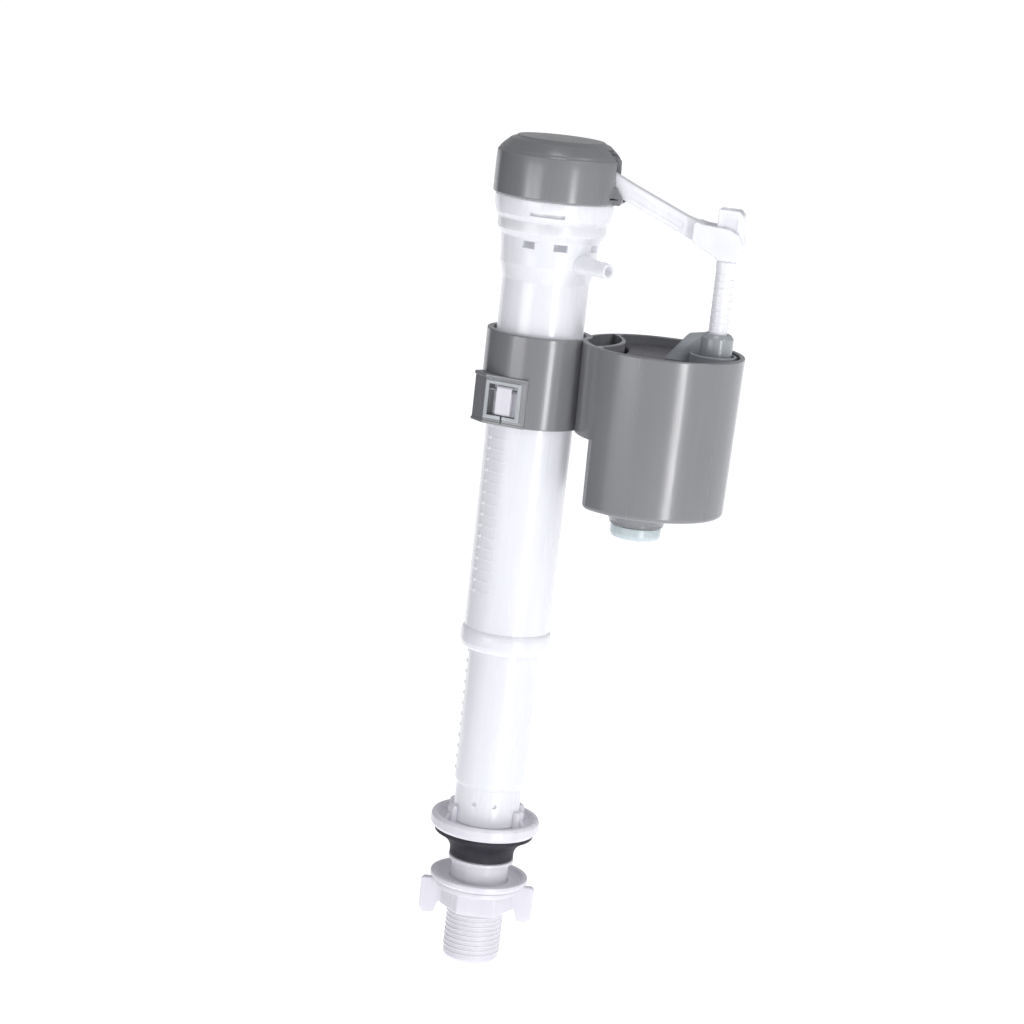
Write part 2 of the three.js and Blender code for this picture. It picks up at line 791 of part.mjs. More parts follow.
const drainPlug = () =>
  turned(
    [
      [0, 115.5],
      [7.4, 115.5],
      [8.6, 116.1],
      [9, 117.4],
      [9, 120.2],
      [8.2, 120.2],
      [8.2, 119.5],
      [1.7, 119.5],
      [1.7, 123.5],
      [3, 123.7],
      [1.5, 125.7],
      [0, 125.7],
    ],
  );

const drainSeal = () => sleeve(4, 7.9, 119.65, HOPPER_FOOT_Z - 0.15);

// ---- Assembly ----

function named(name, geometry, material) {
  const mesh = new THREE.Mesh(geometry, material);
  mesh.name = name;
  return mesh;
}

function group(x, ...meshes) {
  const made = new THREE.Group();
  made.position.x = x;
  made.add(...meshes);
  return made;
}

const base = group(
  0,
  named("inlet_shank", inletShank(), paleGreyPlastic()),
  named("cone_washer", coneWasher(), blackRubber()),
  named("slip_washer", slipWasher(), paleGreyPlastic()),
  named("inlet_strainer", inletStrainer(), paleGreyPlastic()),
  named("flow_restrictor", flowRestrictor(), paleGreyPlastic()),
  named("lower_tube", lowerTube(), milkyPlastic()),
  named("lower_supply_pipe", lowerSupplyPipe(), milkyPlastic()),
  named("pipe_o_ring", pipeORing(), blackRubber()),
  named("pressure_washer", pressureWasher(), paleGreyPlastic()),
  named("lock_nut", lockNut(), paleGreyPlastic()),
);

const riser = group(
  0,
  named("riser_tube", riserTube(), milkyPlastic()),
  named("lock_ring", lockRing(), milkyPlastic()),
  named("upper_supply_pipe", upperSupplyPipe(), milkyPlastic()),
  named("valve_seat", valveSeat(), milkyPlastic()),
  named("diaphragm", diaphragm(), blackRubber()),
  named("diaphragm_insert", diaphragmInsert(), milkyPlastic()),
  named("valve_bonnet", valveBonnet(), milkyPlastic()),
  named("bonnet_o_ring", bonnetORing(), blackRubber()),
  named("pivot_pin", pivotPin(), milkyPlastic()),
  named("head_cap", headCap(), greyPlastic()),
  named("lever", lever(), milkyPlastic()),
  named("pilot_seal", pilotSeal(), blackRubber()),
);

const linkage = group(
  ROD_X,
  named("rod_clip", rodClip(), milkyPlastic()),
  named("adjusting_rod", adjustingRod(), milkyPlastic()),
);

const cup = group(
  0,
  named("float_cup", floatCup(), greyPlastic()),
  named("rack_latch", rackLatch(), milkyPlastic()),
  named("latch_pin", latchPin(), greyPlastic()),
  named("float", floatBlock(), greyPlastic()),
);

const drain = group(
  HOPPER_X,
  named("drain_plug", drainPlug(), milkyPlastic()),
  named("drain_seal", drainSeal(), clearSilicone()),
);

export default group(0, base, riser, linkage, cup, drain);
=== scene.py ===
# %% [markdown]
# # A cistern fill valve, from coarse outlines to finished plastic
# The valve stands in a cistern: a threaded shank goes through the floor, two tubes slide in
# each other above it, and a cup with a float hangs at the side of the upper one. Nearly every
# piece came out of a mould, so the lesson is about turned and drafted shapes with soft edges,
# and about three plastics and one rubber that look alike until light falls along them.

import json
import math

import bpy
from mathutils import Matrix, Vector


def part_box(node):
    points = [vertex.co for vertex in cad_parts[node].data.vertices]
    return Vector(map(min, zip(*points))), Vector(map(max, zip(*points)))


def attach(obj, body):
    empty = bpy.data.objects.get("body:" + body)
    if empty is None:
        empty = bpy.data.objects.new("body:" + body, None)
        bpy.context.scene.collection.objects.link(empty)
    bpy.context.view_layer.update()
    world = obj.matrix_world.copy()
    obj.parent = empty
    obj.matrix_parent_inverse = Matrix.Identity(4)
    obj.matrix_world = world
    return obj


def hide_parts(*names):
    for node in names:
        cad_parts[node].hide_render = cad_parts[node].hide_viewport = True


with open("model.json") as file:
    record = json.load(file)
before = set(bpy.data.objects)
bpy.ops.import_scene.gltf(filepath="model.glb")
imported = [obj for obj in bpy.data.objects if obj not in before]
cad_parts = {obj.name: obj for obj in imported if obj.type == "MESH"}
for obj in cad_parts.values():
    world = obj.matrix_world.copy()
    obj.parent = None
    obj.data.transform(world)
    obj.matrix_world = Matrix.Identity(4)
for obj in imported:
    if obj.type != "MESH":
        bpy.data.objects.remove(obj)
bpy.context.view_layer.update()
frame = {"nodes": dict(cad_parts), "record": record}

# %% [markdown]
# ## The camera
# The camera comes first, because it decides which side of each piece deserves the most care.
# It looks slightly down and a little from the right, through a long lens that keeps the tubes
# nearly parallel, and it is rolled, so that the valve leans.

# %% Camera
MM = 0.001
CAMERA_AZIMUTH = 11.0
CAMERA_ELEVATION = 11.8
CAMERA_DISTANCE = 1.08
CAMERA_ROLL = 6.4
LENS_MM = 106.3
AIM_Z = 0.118
AIM_LEFT = 0.00275


def look_back(azimuth, elevation):
    """The direction from the valve to a viewer at these angles in degrees."""
    a, e = math.radians(azimuth), math.radians(elevation)
    return Vector((math.sin(a) * math.cos(e), -math.cos(a) * math.cos(e), math.sin(e)))


def camera_axes():
    """The rolled camera's right, up and backward directions."""
    back = look_back(CAMERA_AZIMUTH, CAMERA_ELEVATION)
    right = Vector((0, 0, 1)).cross(back).normalized()
    up = back.cross(right)
    turn = math.radians(CAMERA_ROLL)
    rolled_right = right * math.cos(turn) + up * math.sin(turn)
    return rolled_right, back.cross(rolled_right), back, right


camera_right, camera_up, camera_back, level_right = camera_axes()
camera_data = bpy.data.cameras.new("camera")
camera_data.lens = LENS_MM
camera_data.clip_start = 0.05
camera = bpy.data.objects.new("camera", camera_data)
bpy.context.scene.collection.objects.link(camera)
aim = Vector((0, 0, AIM_Z)) - level_right * AIM_LEFT
turned_to = Matrix((camera_right, camera_up, camera_back)).transposed().to_4x4()
camera.matrix_world = Matrix.Translation(aim + camera_back * CAMERA_DISTANCE) @ turned_to
bpy.context.scene.camera = camera
print("camera at", [round(value, 3) for value in camera.location])

# %% [markdown]
# ## Ways of making
# A turned piece is an outline drawn from its axis outwards. The `Screw` modifier sweeps it
# round, and the outline's own corners are rounded first, so every edge has the small radius
# that a mould leaves. `Weighted Normal` keeps the flats flat beside those radii.

# %% Outlines with soft corners
TURN_STEPS = 96
SMALL_STEPS = 40
ARC_PIECES = 4


def soften(outline, radius, closed=True):
    """The outline with each corner replaced by an arc, as large as radius where there is room."""
    points = [Vector(point) for point in outline]
    count = len(points)
    made = []
    for i, corner in enumerate(points):
        if not closed and i in (0, count - 1):
            made.append(tuple(corner))
            continue
        before, after = points[i - 1] - corner, points[(i + 1) % count] - corner
        bend = before.angle(after)
        if bend > math.radians(168):
            made.append(tuple(corner))
            continue
        reach = min(radius / math.tan(bend / 2), before.length * 0.45, after.length * 0.45)
        start, end = corner + before.normalized() * reach, corner + after.normalized() * reach
        for step in range(ARC_PIECES + 1):
            t = step / ARC_PIECES
            made.append(tuple(start * (1 - t) ** 2 + corner * 2 * t * (1 - t) + end * t * t))
    return made


def signed_area(points):
    pairs = zip(points, points[1:] + points[:1])
    return sum(a[0] * b[1] - b[0] * a[1] for a, b in pairs) / 2


def link(name, mesh):
    piece = bpy.data.objects.new(name, mesh)
    bpy.context.scene.collection.objects.link(piece)
    return piece


def new_piece(name, points, faces, edges=()):
    """A piece from bare points in metres."""
    mesh = bpy.data.meshes.new(name)
    mesh.from_pydata(points, edges, faces)
    return link(name, mesh)


def even_shading(piece):
    normals = piece.modifiers.new("even shading", "WEIGHTED_NORMAL")
    normals.keep_sharp = True
    normals.weight = 60


# %% Turned pieces
def turned(name, outline, edge=0.4, steps=TURN_STEPS):
    """A turned piece about the Z axis from an outline of (radius, height) in millimetres."""
    on_axis = outline[0][0] == 0 and outline[-1][0] == 0
    if signed_area(list(outline)) > 0:
        outline = list(reversed(outline))
    rounded = soften(outline, edge, closed=not on_axis)
    count = len(rounded)
    edges = [(i, i + 1) for i in range(count - 1)]
    if not on_axis:
        edges.append((count - 1, 0))
    piece = new_piece(name, [(r * MM, 0, z * MM) for r, z in rounded], [], edges)
    screw = piece.modifiers.new("turn", "SCREW")
    screw.steps = screw.render_steps = steps
    screw.use_merge_vertices = True
    screw.merge_threshold = 1e-6
    screw.use_smooth_shade = True
    even_shading(piece)
    return piece


# %% [markdown]
# Pieces that were turned about another axis, or that are cut or welded, have their stack
# applied, and then their place is put into the mesh. `Boolean` names a second object, so it
# is always applied, and the cutter is thrown away.

# %% Settling, cutting and welding
SHARP_ANGLE = 32


def settle(piece, place=None):
    """Applies the piece's modifiers, then moves its mesh, not its object, to its place."""
    depsgraph = bpy.context.evaluated_depsgraph_get()
    mesh = bpy.data.meshes.new_from_object(piece.evaluated_get(depsgraph))
    if place is not None:
        mesh.transform(place)
    piece.modifiers.clear()
    piece.data = mesh
    mesh.name = piece.name
    return piece


def combine(piece, others, operation):
    for other in others:
        settle(other)
        boolean = piece.modifiers.new(operation.lower(), "BOOLEAN")
        boolean.operation = operation
        boolean.solver = "MANIFOLD"
        boolean.object = other
        settle(piece)
        bpy.data.objects.remove(other)
    return piece


def cut(piece, *cutters):
    return combine(piece, cutters, "DIFFERENCE")


def weld(piece, *others):
    return combine(piece, others, "UNION")


def keep_common(piece, *others):
    return combine(piece, others, "INTERSECT")


def smooth(piece, angle=SHARP_ANGLE):
    """Smooth shading that stays crisp where two faces meet at more than the angle."""
    piece.data.shade_smooth()
    piece.data.set_sharp_from_angle(angle=math.radians(angle))
    even_shading(piece)
    return piece


def turn_z(angle):
    return Matrix.Rotation(math.radians(angle), 4, "Z")


def shift(x=0.0, y=0.0, z=0.0):
    return Matrix.Translation(Vector((x, y, z)) * MM)


def both_sides(near, far):
    """The stretch from near to far along Y and its mirror image, each as (low, high)."""
    return [(-far, -near), (near, far)]


ALONG_X = Matrix.Rotation(math.radians(90), 4, "Y")


# %% [markdown]
# Flat pieces, such as the lever or the nut's wings, start as an outline in the XZ plane that is
# given its width along Y. A live or applied `Bevel` breaks the edges.

# %% Plates, slabs and bars
BAR_SIDES = 32


def prism(name, outline, low, high, edge=0.0, lying=False):
    """A solid of this outline: in the XZ plane and wide along Y, or lying in the XY plane."""
    points = list(outline)
    if (signed_area(points) > 0) != lying:
        points.reverse()
    count = len(points)
    at = (lambda a, b, w: (a, b, w)) if lying else (lambda a, b, w: (a, w, b))
    rows = [at(a, b, level) for level in (low, high) for a, b in points]
    faces = [tuple(reversed(range(count))), tuple(range(count, 2 * count))]
    for i in range(count):
        j = (i + 1) % count
        faces.append((i, j, count + j, count + i))
    piece = new_piece(name, [Vector(point) * MM for point in rows], faces)
    if edge:
        bevel = piece.modifiers.new("broken edges", "BEVEL")
        bevel.width = edge * MM
        bevel.segments = 3
        bevel.limit_method = "ANGLE"
        bevel.angle_limit = math.radians(30)
    return piece


def block(name, x0, x1, y0, y1, z0, z1, edge=0.0):
    return prism(name, [(x0, z0), (x1, z0), (x1, z1), (x0, z1)], y0, y1, edge)


def bar(name, radius, x, z, y0, y1, edge=0.0):
    """A round bar along Y."""
    angles = [2 * math.pi * i / BAR_SIDES for i in range(BAR_SIDES)]
    circle = [(x + radius * math.cos(a), z + radius * math.sin(a)) for a in angles]
    return prism(name, circle, y0, y1, edge)


def drum(name, radius, z0, z1, x=0.0, y=0.0, steps=TURN_STEPS, edge=0.0):
    piece = turned(name, [(0, z1), (radius, z1), (radius, z0), (0, z0)], edge or 0.01, steps)
    return settle(piece, shift(x, y))


# %% [markdown]
# A thread is a wire wound round a core. A curve with a round bevel does that well, and its
# point radius fades to nothing at both ends, as a moulded thread runs out. The coil is made a
# mesh at the end, so that it exports like the rest.

# %% Threads
POINTS_PER_TURN = 36


def thread(name, radius, wire, pitch, z0, z1, fade_turns=0.7):
    """A right-handed coil of wire, in millimetres, whose middle line has this radius."""
    turns = (z1 - z0) / pitch
    count = round(turns * POINTS_PER_TURN) + 1
    curve = bpy.data.curves.new(name, "CURVE")
    curve.dimensions = "3D"
    curve.bevel_depth = wire * MM
    curve.bevel_resolution = 1
    curve.use_fill_caps = True
    spline = curve.splines.new("POLY")
    spline.points.add(count - 1)
    for i, point in enumerate(spline.points):
        done = turns * i / (count - 1)
        angle = 2 * math.pi * done
        height = z0 + pitch * done
        place = Vector((radius * math.cos(angle), radius * math.sin(angle), height)) * MM
        point.co = (*place, 1)
        point.radius = max(0.02, min(1.0, done / fade_turns, (turns - done) / fade_turns))
    coil = link(name, curve)
    depsgraph = bpy.context.evaluated_depsgraph_get()
    mesh = bpy.data.meshes.new_from_object(coil.evaluated_get(depsgraph))
    bpy.data.objects.remove(coil)
    piece = link(name, mesh)
    mesh.name = name
    mesh.shade_smooth()
    return piece


# %% [markdown]
# ## The finishes
# The tubes are a milky plastic that lets a little light in, the foot is a denser lilac white,
# the cap and the cup are mid grey, and the sealing cone is black rubber. Each finish has three
# layers: a slow cloud of colour, the flow lines that run along the pull of the mould, and a fine
# grain in the bump. All of them read Object coordinates, which are metres in the valve's frame.

# %% Node helpers
def set_inputs(node, values):
    """Puts plain values straight on the node's sockets."""
    for name, value in values.items():
        node.inputs[name].default_value = value


class Finish:
    """A material under construction, with short names for the nodes that it needs."""

    def __init__(self, name):
        self.material = bpy.data.materials.new(name)
        self.material.use_nodes = True
        self.tree = self.material.node_tree
        self.shader = self.tree.nodes["Principled BSDF"]
        self.place = self.add("ShaderNodeTexCoord").outputs["Object"]

    def add(self, kind, **settings):
        node = self.tree.nodes.new(kind)
        for key, value in settings.items():
            setattr(node, key, value)
        return node

    def wire(self, output, target):
        self.tree.links.new(output, target)

    def noise(self, scale, stretch=(1, 1, 1), detail=3.0, roughness=0.5):
        """Noise on Object coordinates; a stretch under 1 draws it out along that axis."""
        mapping = self.add("ShaderNodeMapping")
        set_inputs(mapping, {"Scale": stretch})
        self.wire(self.place, mapping.inputs["Vector"])
        noise = self.add("ShaderNodeTexNoise")
        set_inputs(noise, {"Scale": scale, "Detail": detail, "Roughness": roughness})
        self.wire(mapping.outputs["Vector"], noise.inputs["Vector"])
        return noise.outputs["Fac"]

    def ramp(self, value, *stops):
        """A colour ramp; each stop is (position, colour), a colour being 3 linear numbers."""
        ramp = self.add("ShaderNodeValToRGB")
        elements = ramp.color_ramp.elements
        while len(elements) < len(stops):
            elements.new(0.5)
        for element, (position, color) in zip(elements, stops):
            element.position = position
            element.color = (*color, 1)
        self.wire(value, ramp.inputs["Fac"])
        return ramp.outputs["Color"]

    def spread(self, value, low, high, start=0.3, end=0.7):
        """Maps start..end of a value to low..high."""
        node = self.add("ShaderNodeMapRange")
        set_inputs(node, {"From Min": start, "From Max": end, "To Min": low, "To Max": high})
        self.wire(value, node.inputs["Value"])
        return node.outputs["Result"]

    def mix(self, factor, a, b):
        """Mixes two colours; a and b are outputs or 3 numbers, the factor an output or number."""
        node = self.add("ShaderNodeMix", data_type="RGBA")
        for socket, value in zip((node.inputs[0], node.inputs[6], node.inputs[7]), (factor, a, b)):
            if isinstance(value, bpy.types.NodeSocket):
                self.wire(value, socket)
            elif isinstance(value, (int, float)):
                socket.default_value = value
            else:
                socket.default_value = (*value, 1)
        return node.outputs[2]

    def bump(self, height, strength, distance, under=None):
        node = self.add("ShaderNodeBump")
        set_inputs(node, {"Strength": strength, "Distance": distance})
        self.wire(height, node.inputs["Height"])
        if under is not None:
            self.wire(under, node.inputs["Normal"])
        return node.outputs["Normal"]

    def edge_wear(self, low=0.52, high=0.6):
        """1 on convex edges, from the mesh's pointiness."""
        pointy = self.add("ShaderNodeNewGeometry").outputs["Pointiness"]
        return self.spread(pointy, 0.0, 1.0, low, high)


# %% [markdown]
# Milky plastic is nearly white. What makes it read as plastic and not as paint is a short
# scattering length, a faint blue-lilac cast that drifts along the tube, and a soft gloss.

# %% Milky and lilac plastic
def white_plastic(name, light, shade, scatter, gloss, glow=0.0):
    """A pale moulded plastic between two near-white colours; glow is painted light: an emission of the
    base colour that brightens the shaded side as if light crossed the wall from behind."""
    finish = Finish(name)
    shader = finish.shader
    cloud = finish.noise(38, (1, 1, 0.45), 2)
    flow = finish.noise(260, (1, 1, 0.06), 3)
    specks = finish.noise(2600, detail=2)
    body = finish.ramp(cloud, (0.3, shade), (0.62, light))
    streaked = finish.mix(finish.spread(flow, 0.0, 0.55), body, [c * 0.955 for c in shade])
    worn = finish.mix(finish.edge_wear(), streaked, [min(1, c * 1.03) for c in light])
    finish.wire(worn, shader.inputs["Base Color"])
    finish.wire(finish.spread(flow, gloss - 0.05, gloss + 0.08), shader.inputs["Roughness"])
    waves = finish.bump(flow, 0.12, 0.00025)
    finish.wire(finish.bump(specks, 0.05, 0.0001, waves), shader.inputs["Normal"])
    # The emission repeats the base colour: painted light that glows most where the surface is in
    # shade.
    finish.wire(worn, shader.inputs["Emission Color"])
    set_inputs(shader, {
        "IOR": 1.49, "Emission Strength": glow, "Coat Weight": 0.15, "Coat Roughness": 0.12,
        "Subsurface Weight": scatter, "Subsurface Radius": (1.0, 0.97, 1.0),
        "Subsurface Scale": 0.007,
    })
    return finish.material


# The last number of each white is its glow: painted light, an emission that lifts the shaded sides.
milky = white_plastic("milky plastic", (0.62, 0.63, 0.65), (0.58, 0.58, 0.625), 0.4, 0.24, 0.28)
dense = white_plastic("dense white plastic", (0.76, 0.77, 0.8), (0.71, 0.71, 0.755), 0.12, 0.3, 0.1)
lilac = white_plastic("lilac white plastic", (0.61, 0.6, 0.645), (0.555, 0.54, 0.6), 0.2, 0.3, 0.14)
print("white finishes:", milky.name, "and", lilac.name)

# %% [markdown]
# The grey pieces show vertical flow lines from the gate of the mould, which is why the long
# highlight on the cup has a slightly ragged edge. Scuffs lighten the outer edges.

# %% Grey plastic
def grey_plastic(name, middle, gloss):
    finish = Finish(name)
    shader = finish.shader
    cloud = finish.noise(30, (1, 1, 0.5), 2)
    flow = finish.noise(420, (1, 1, 0.035), 4, 0.6)
    specks = finish.noise(3200, detail=2)
    dark = [c * 0.9 for c in middle]
    pale = [c * 1.08 for c in middle]
    body = finish.ramp(cloud, (0.3, dark), (0.7, pale))
    streaked = finish.mix(finish.spread(flow, 0.0, 0.5), body, [c * 0.88 for c in middle])
    worn = finish.mix(finish.edge_wear(0.53, 0.62), streaked, [c * 1.35 for c in middle])
    finish.wire(worn, shader.inputs["Base Color"])
    finish.wire(finish.spread(flow, gloss - 0.04, gloss + 0.1), shader.inputs["Roughness"])
    waves = finish.bump(flow, 0.1, 0.0003)
    finish.wire(finish.bump(specks, 0.08, 0.0001, waves), shader.inputs["Normal"])
    set_inputs(shader, {"IOR": 1.5, "Coat Weight": 0.2, "Coat Roughness": 0.15})
    return finish.material


grey = grey_plastic("grey plastic", (0.194, 0.196, 0.207), 0.19)
# The float's grey is the cup's plastic painted darker: painted shade, as the float sits deep in the
# cup.
float_painted_shade_grey = grey_plastic("float grey with painted shade", (0.075, 0.069, 0.083), 0.42)
# A lighter copy of the grey for the boss, the gusset and the window's frame: painted light, as if
# these raised parts caught more light.
painted_light_grey = grey_plastic("grey plastic with painted light", (0.32, 0.34, 0.36), 0.2)

# %% Black rubber
def black_rubber(name):
    finish = Finish(name)
    shader = finish.shader
    cloud = finish.noise(120, detail=3)
    grain = finish.noise(1900, detail=3)
    body = finish.ramp(cloud, (0.3, (0.016, 0.015, 0.021)), (0.7, (0.032, 0.030, 0.040)))
    dusty = finish.mix(finish.edge_wear(0.53, 0.64), body, (0.085, 0.082, 0.095))
    finish.wire(dusty, shader.inputs["Base Color"])
    finish.wire(finish.spread(grain, 0.5, 0.72), shader.inputs["Roughness"])
    finish.wire(finish.bump(grain, 0.3, 0.00012), shader.inputs["Normal"])
    set_inputs(shader, {"IOR": 1.52, "Specular IOR Level": 0.28})
    return finish.material


rubber = black_rubber("black rubber")
silicone = white_plastic("clear silicone", (0.78, 0.78, 0.82), (0.72, 0.72, 0.76), 0.4, 0.4)
# The ice white's glow of 0.08 is painted light as well.
ice = white_plastic("ice white plastic", (0.5, 0.56, 0.58), (0.44, 0.51, 0.53), 0.3, 0.28, 0.08)
FINISHES = {
    "milky_plastic": milky,
    "shank_plastic": lilac,
    "grey_plastic": grey,
    "black_rubber": rubber,
    "clear_silicone": silicone,
}


def place(piece, body, slot, *nodes, finish=None):
    """Gives a finished piece its material, its body and the working nodes that it stands for."""
    piece.data.materials.clear()
    piece.data.materials.append(finish or FINISHES[slot])
    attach(piece, body)
    if nodes:
        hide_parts(*nodes)
    return piece


# %% [markdown]
# ## The shank and its flange
# The shank is the valve's foot: a G 1/2 thread under a dished flange. The core is turned, the
# thread is a fine coil, and four little hooks stand on the flange to hold the lower tube.

# %% Shank
THREAD_PITCH = 25.4 / 14
SHANK_R = 20.955 / 2
SHANK_CORE_R = SHANK_R - 0.3
SHANK_END_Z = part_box("inlet_shank")[0].z / MM
SPIGOT_TOP_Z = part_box("inlet_shank")[1].z / MM
SHANK_BORE_R = 6.3
SPIGOT_R = 10.4
FLANGE_R = 19.75

shank = turned("shank_body", [
    (SHANK_BORE_R, SPIGOT_TOP_Z), (SPIGOT_R, SPIGOT_TOP_Z), (SPIGOT_R, 2.9), (13.2, 2.9),
    (16.6, 3.4), (18.0, 5.2), (19.1, 5.2), (FLANGE_R, 4.2), (FLANGE_R, 1.4), (18.6, 0.0),
    (SHANK_CORE_R, 0.0), (SHANK_CORE_R, SHANK_END_Z + 1.2), (SHANK_CORE_R - 1.2, SHANK_END_Z),
    (SHANK_BORE_R, SHANK_END_Z),
], 0.7)
place(shank, "base", "shank_plastic", "inlet_shank")
print("shank:", round(-SHANK_END_Z, 1), "mm below the flange")

# %% Shank thread and smooth upper neck
THREAD_TOP_Z = -18.5
SHANK_WIRE_R = 0.5

shank_thread = thread("shank_thread", SHANK_R - SHANK_WIRE_R - 0.02, SHANK_WIRE_R, THREAD_PITCH,
                      SHANK_END_Z + 1.8, THREAD_TOP_Z)
place(shank_thread, "base", "shank_plastic")
neck = turned("shank_neck", [
    (SHANK_CORE_R - 1, 0.2), (SHANK_R - 0.03, 0.2), (SHANK_R - 0.03, THREAD_TOP_Z + 1.2),
    (SHANK_CORE_R, THREAD_TOP_Z), (SHANK_CORE_R - 1, THREAD_TOP_Z),
], 0.3)
place(neck, "base", "shank_plastic")

# %% Hooks on the flange
HOOK_ANGLES = (-145, -16, 35, 164)
NECK_R = 12.0


def hook(angle):
    """A stiffened hook that stands on the flange and leans over the tube's foot."""
    x = NECK_R + 0.4
    finger = [(x, 2.4), (x + 2.0, 2.4), (x + 1.9, 7.4), (x + 1.5, 9.0), (x, 9.0)]
    web = [(x + 1.2, 2.4), (x + 4.6, 2.4), (x + 4.3, 3.6), (x + 1.8, 6.6), (x + 1.2, 6.6)]
    upright = settle(prism(f"hook{angle}", finger, -2.4, 2.4, 0.35))
    rib = settle(prism("hook_rib", web, -0.8, 0.8, 0.3))
    return settle(weld(upright, rib), turn_z(angle))


for number, angle in enumerate(HOOK_ANGLES):
    made = smooth(hook(angle))
    made.name = f"flange_hook_{number + 1}"
    place(made, "base", "shank_plastic")
print("hooks:", len(HOOK_ANGLES))

# %% [markdown]
# ## The sealing cone, the washers and the wing nut
# Under the flange a flared rubber cone seals the cistern's hole. A thin slip washer lets it turn.
# Outside the cistern a dished washer and a nut with two wings pull the flange down. The flare
# is a power curve, so that it is steep at the foot and nearly flat at the lip.

# %% Sealing cone
CONE_LIP_R, CONE_FOOT_R = 18.2, 11.7
CONE_LIP_Z, CONE_FOOT_Z = -0.3, -10.4
FLARE_STEPS = 12
flare = []
for step in range(FLARE_STEPS + 1):
    down = step / FLARE_STEPS
    radius = CONE_FOOT_R + (CONE_LIP_R - 0.2 - CONE_FOOT_R) * (1 - down) ** 2.3
    flare.append((radius, CONE_LIP_Z - 1.3 - 7.4 * down))
cone = turned("sealing_cone", [
    (SHANK_R + 0.3, CONE_LIP_Z), (CONE_LIP_R, CONE_LIP_Z), *flare,
    (CONE_FOOT_R, CONE_FOOT_Z), (SHANK_R + 0.3, CONE_FOOT_Z),
], 0.35)
place(cone, "base", "black_rubber", "cone_washer")

slip = turned("slip_ring", [
    (SHANK_R + 0.3, -10.7), (11.9, -10.7), (11.9, -12.0), (SHANK_R + 0.3, -12.0),
], 0.3)
place(slip, "base", "shank_plastic", "slip_washer")

# %% Dished washer
DISH_R = 17.9
dish = turned("dished_washer", [
    (SHANK_R + 0.3, -18.9), (13.0, -19.2), (15.2, -18.9), (16.2, -17.4), (DISH_R - 0.1, -17.4),
    (DISH_R, -18.9), (DISH_R - 1.7, -20.3), (SHANK_R + 0.3, -20.3),
], 0.45)
place(dish, "clamp", "shank_plastic", "pressure_washer")

# %% Wing nut
NUT_TOP_Z, NUT_FOOT_Z = -20.6, -30.3
HEX_R = 13.8
WING_R, WING_FOOT_Z = 20.8, -34.4
WING_ANGLE = 11


def hexagon(radius, angle):
    turns = [math.radians(angle + 60 * i) for i in range(6)]
    return [(radius * math.cos(a), radius * math.sin(a)) for a in turns]


def wing(angle):
    outline = [
        (10.9, NUT_TOP_Z - 0.2), (WING_R - 0.8, NUT_TOP_Z - 0.2), (WING_R, NUT_TOP_Z - 1.2),
        (WING_R, WING_FOOT_Z + 2.0), (WING_R - 1.8, WING_FOOT_Z), (WING_R - 5.4, WING_FOOT_Z + 0.2),
        (WING_R - 6.6, NUT_FOOT_Z + 0.6), (10.9, NUT_FOOT_Z + 0.6),
    ]
    return settle(prism("wing", soften(outline, 1.4), -1.5, 1.5, 0.45), turn_z(angle))


nut = settle(prism("wing_nut", hexagon(HEX_R, WING_ANGLE), NUT_FOOT_Z, NUT_TOP_Z - 0.6, 0.6, True))
nut = weld(nut, drum("nut_collar", 15.6, NUT_TOP_Z - 1.9, NUT_TOP_Z, edge=0.5),
           wing(WING_ANGLE), wing(WING_ANGLE + 180))
nut = cut(nut, drum("nut_bore", SHANK_R + 0.3, NUT_FOOT_Z - 1, NUT_TOP_Z + 1))
place(smooth(nut), "nut", "shank_plastic", "lock_nut")
print("nut:", len(nut.data.polygons), "faces")

# %% [markdown]
# ## The lower tube
# The lower tube is a straight pipe with a slightly narrower neck at its foot. A column of small
# teeth runs up its side for the locking ring to catch. One tooth is modelled, and an `Array`
# repeats it at the pitch. Two moulding marks show on the neck.

# %% Teeth on a tube
TOOTH_PITCH = 4.0
TOOTH_STEPS = 10


def tooth_column(name, radius, height, angle, half_angle, foot_z, count, tall):
    """Teeth that rise out of a tube's wall, fading at both ends of their arc."""
    ring = []
    for step in range(TOOTH_STEPS + 1):
        done = step / TOOTH_STEPS
        a = math.radians(angle + half_angle * (2 * done - 1))
        rise = height * min(1.0, 4.5 * min(done, 1 - done)) ** 0.5
        for r, z in ((radius - 0.7, -tall / 2), (radius - 0.1 + rise * 0.1, -tall / 2),
                     (radius + rise, -tall * 0.12), (radius + rise, tall * 0.12),
                     (radius - 0.1 + rise * 0.1, tall / 2), (radius - 0.7, tall / 2)):
            ring.append(Vector((r * math.cos(a), r * math.sin(a), foot_z + z)) * MM)
    corners = 6
    faces = [tuple(range(corners)), tuple(reversed(range(len(ring) - corners, len(ring))))]
    for step in range(TOOTH_STEPS):
        for i in range(corners):
            j = (i + 1) % corners
            low, high = step * corners, (step + 1) * corners
            faces.append((low + j, low + i, high + i, high + j))
    piece = new_piece(name, ring, faces)
    piece.data.shade_smooth()
    piece.data.set_sharp_from_angle(angle=math.radians(50))
    array = piece.modifiers.new("column", "ARRAY")
    array.use_relative_offset = False
    array.use_constant_offset = True
    array.constant_offset_displace = (0, 0, TOOTH_PITCH * MM)
    array.count = count
    return piece


# %% Lower tube
LOWER_R, LOWER_BORE_R = 12.75, 11.3
LOWER_TOP_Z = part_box("lower_tube")[1].z / MM
NECK_TOP_Z = 17.0

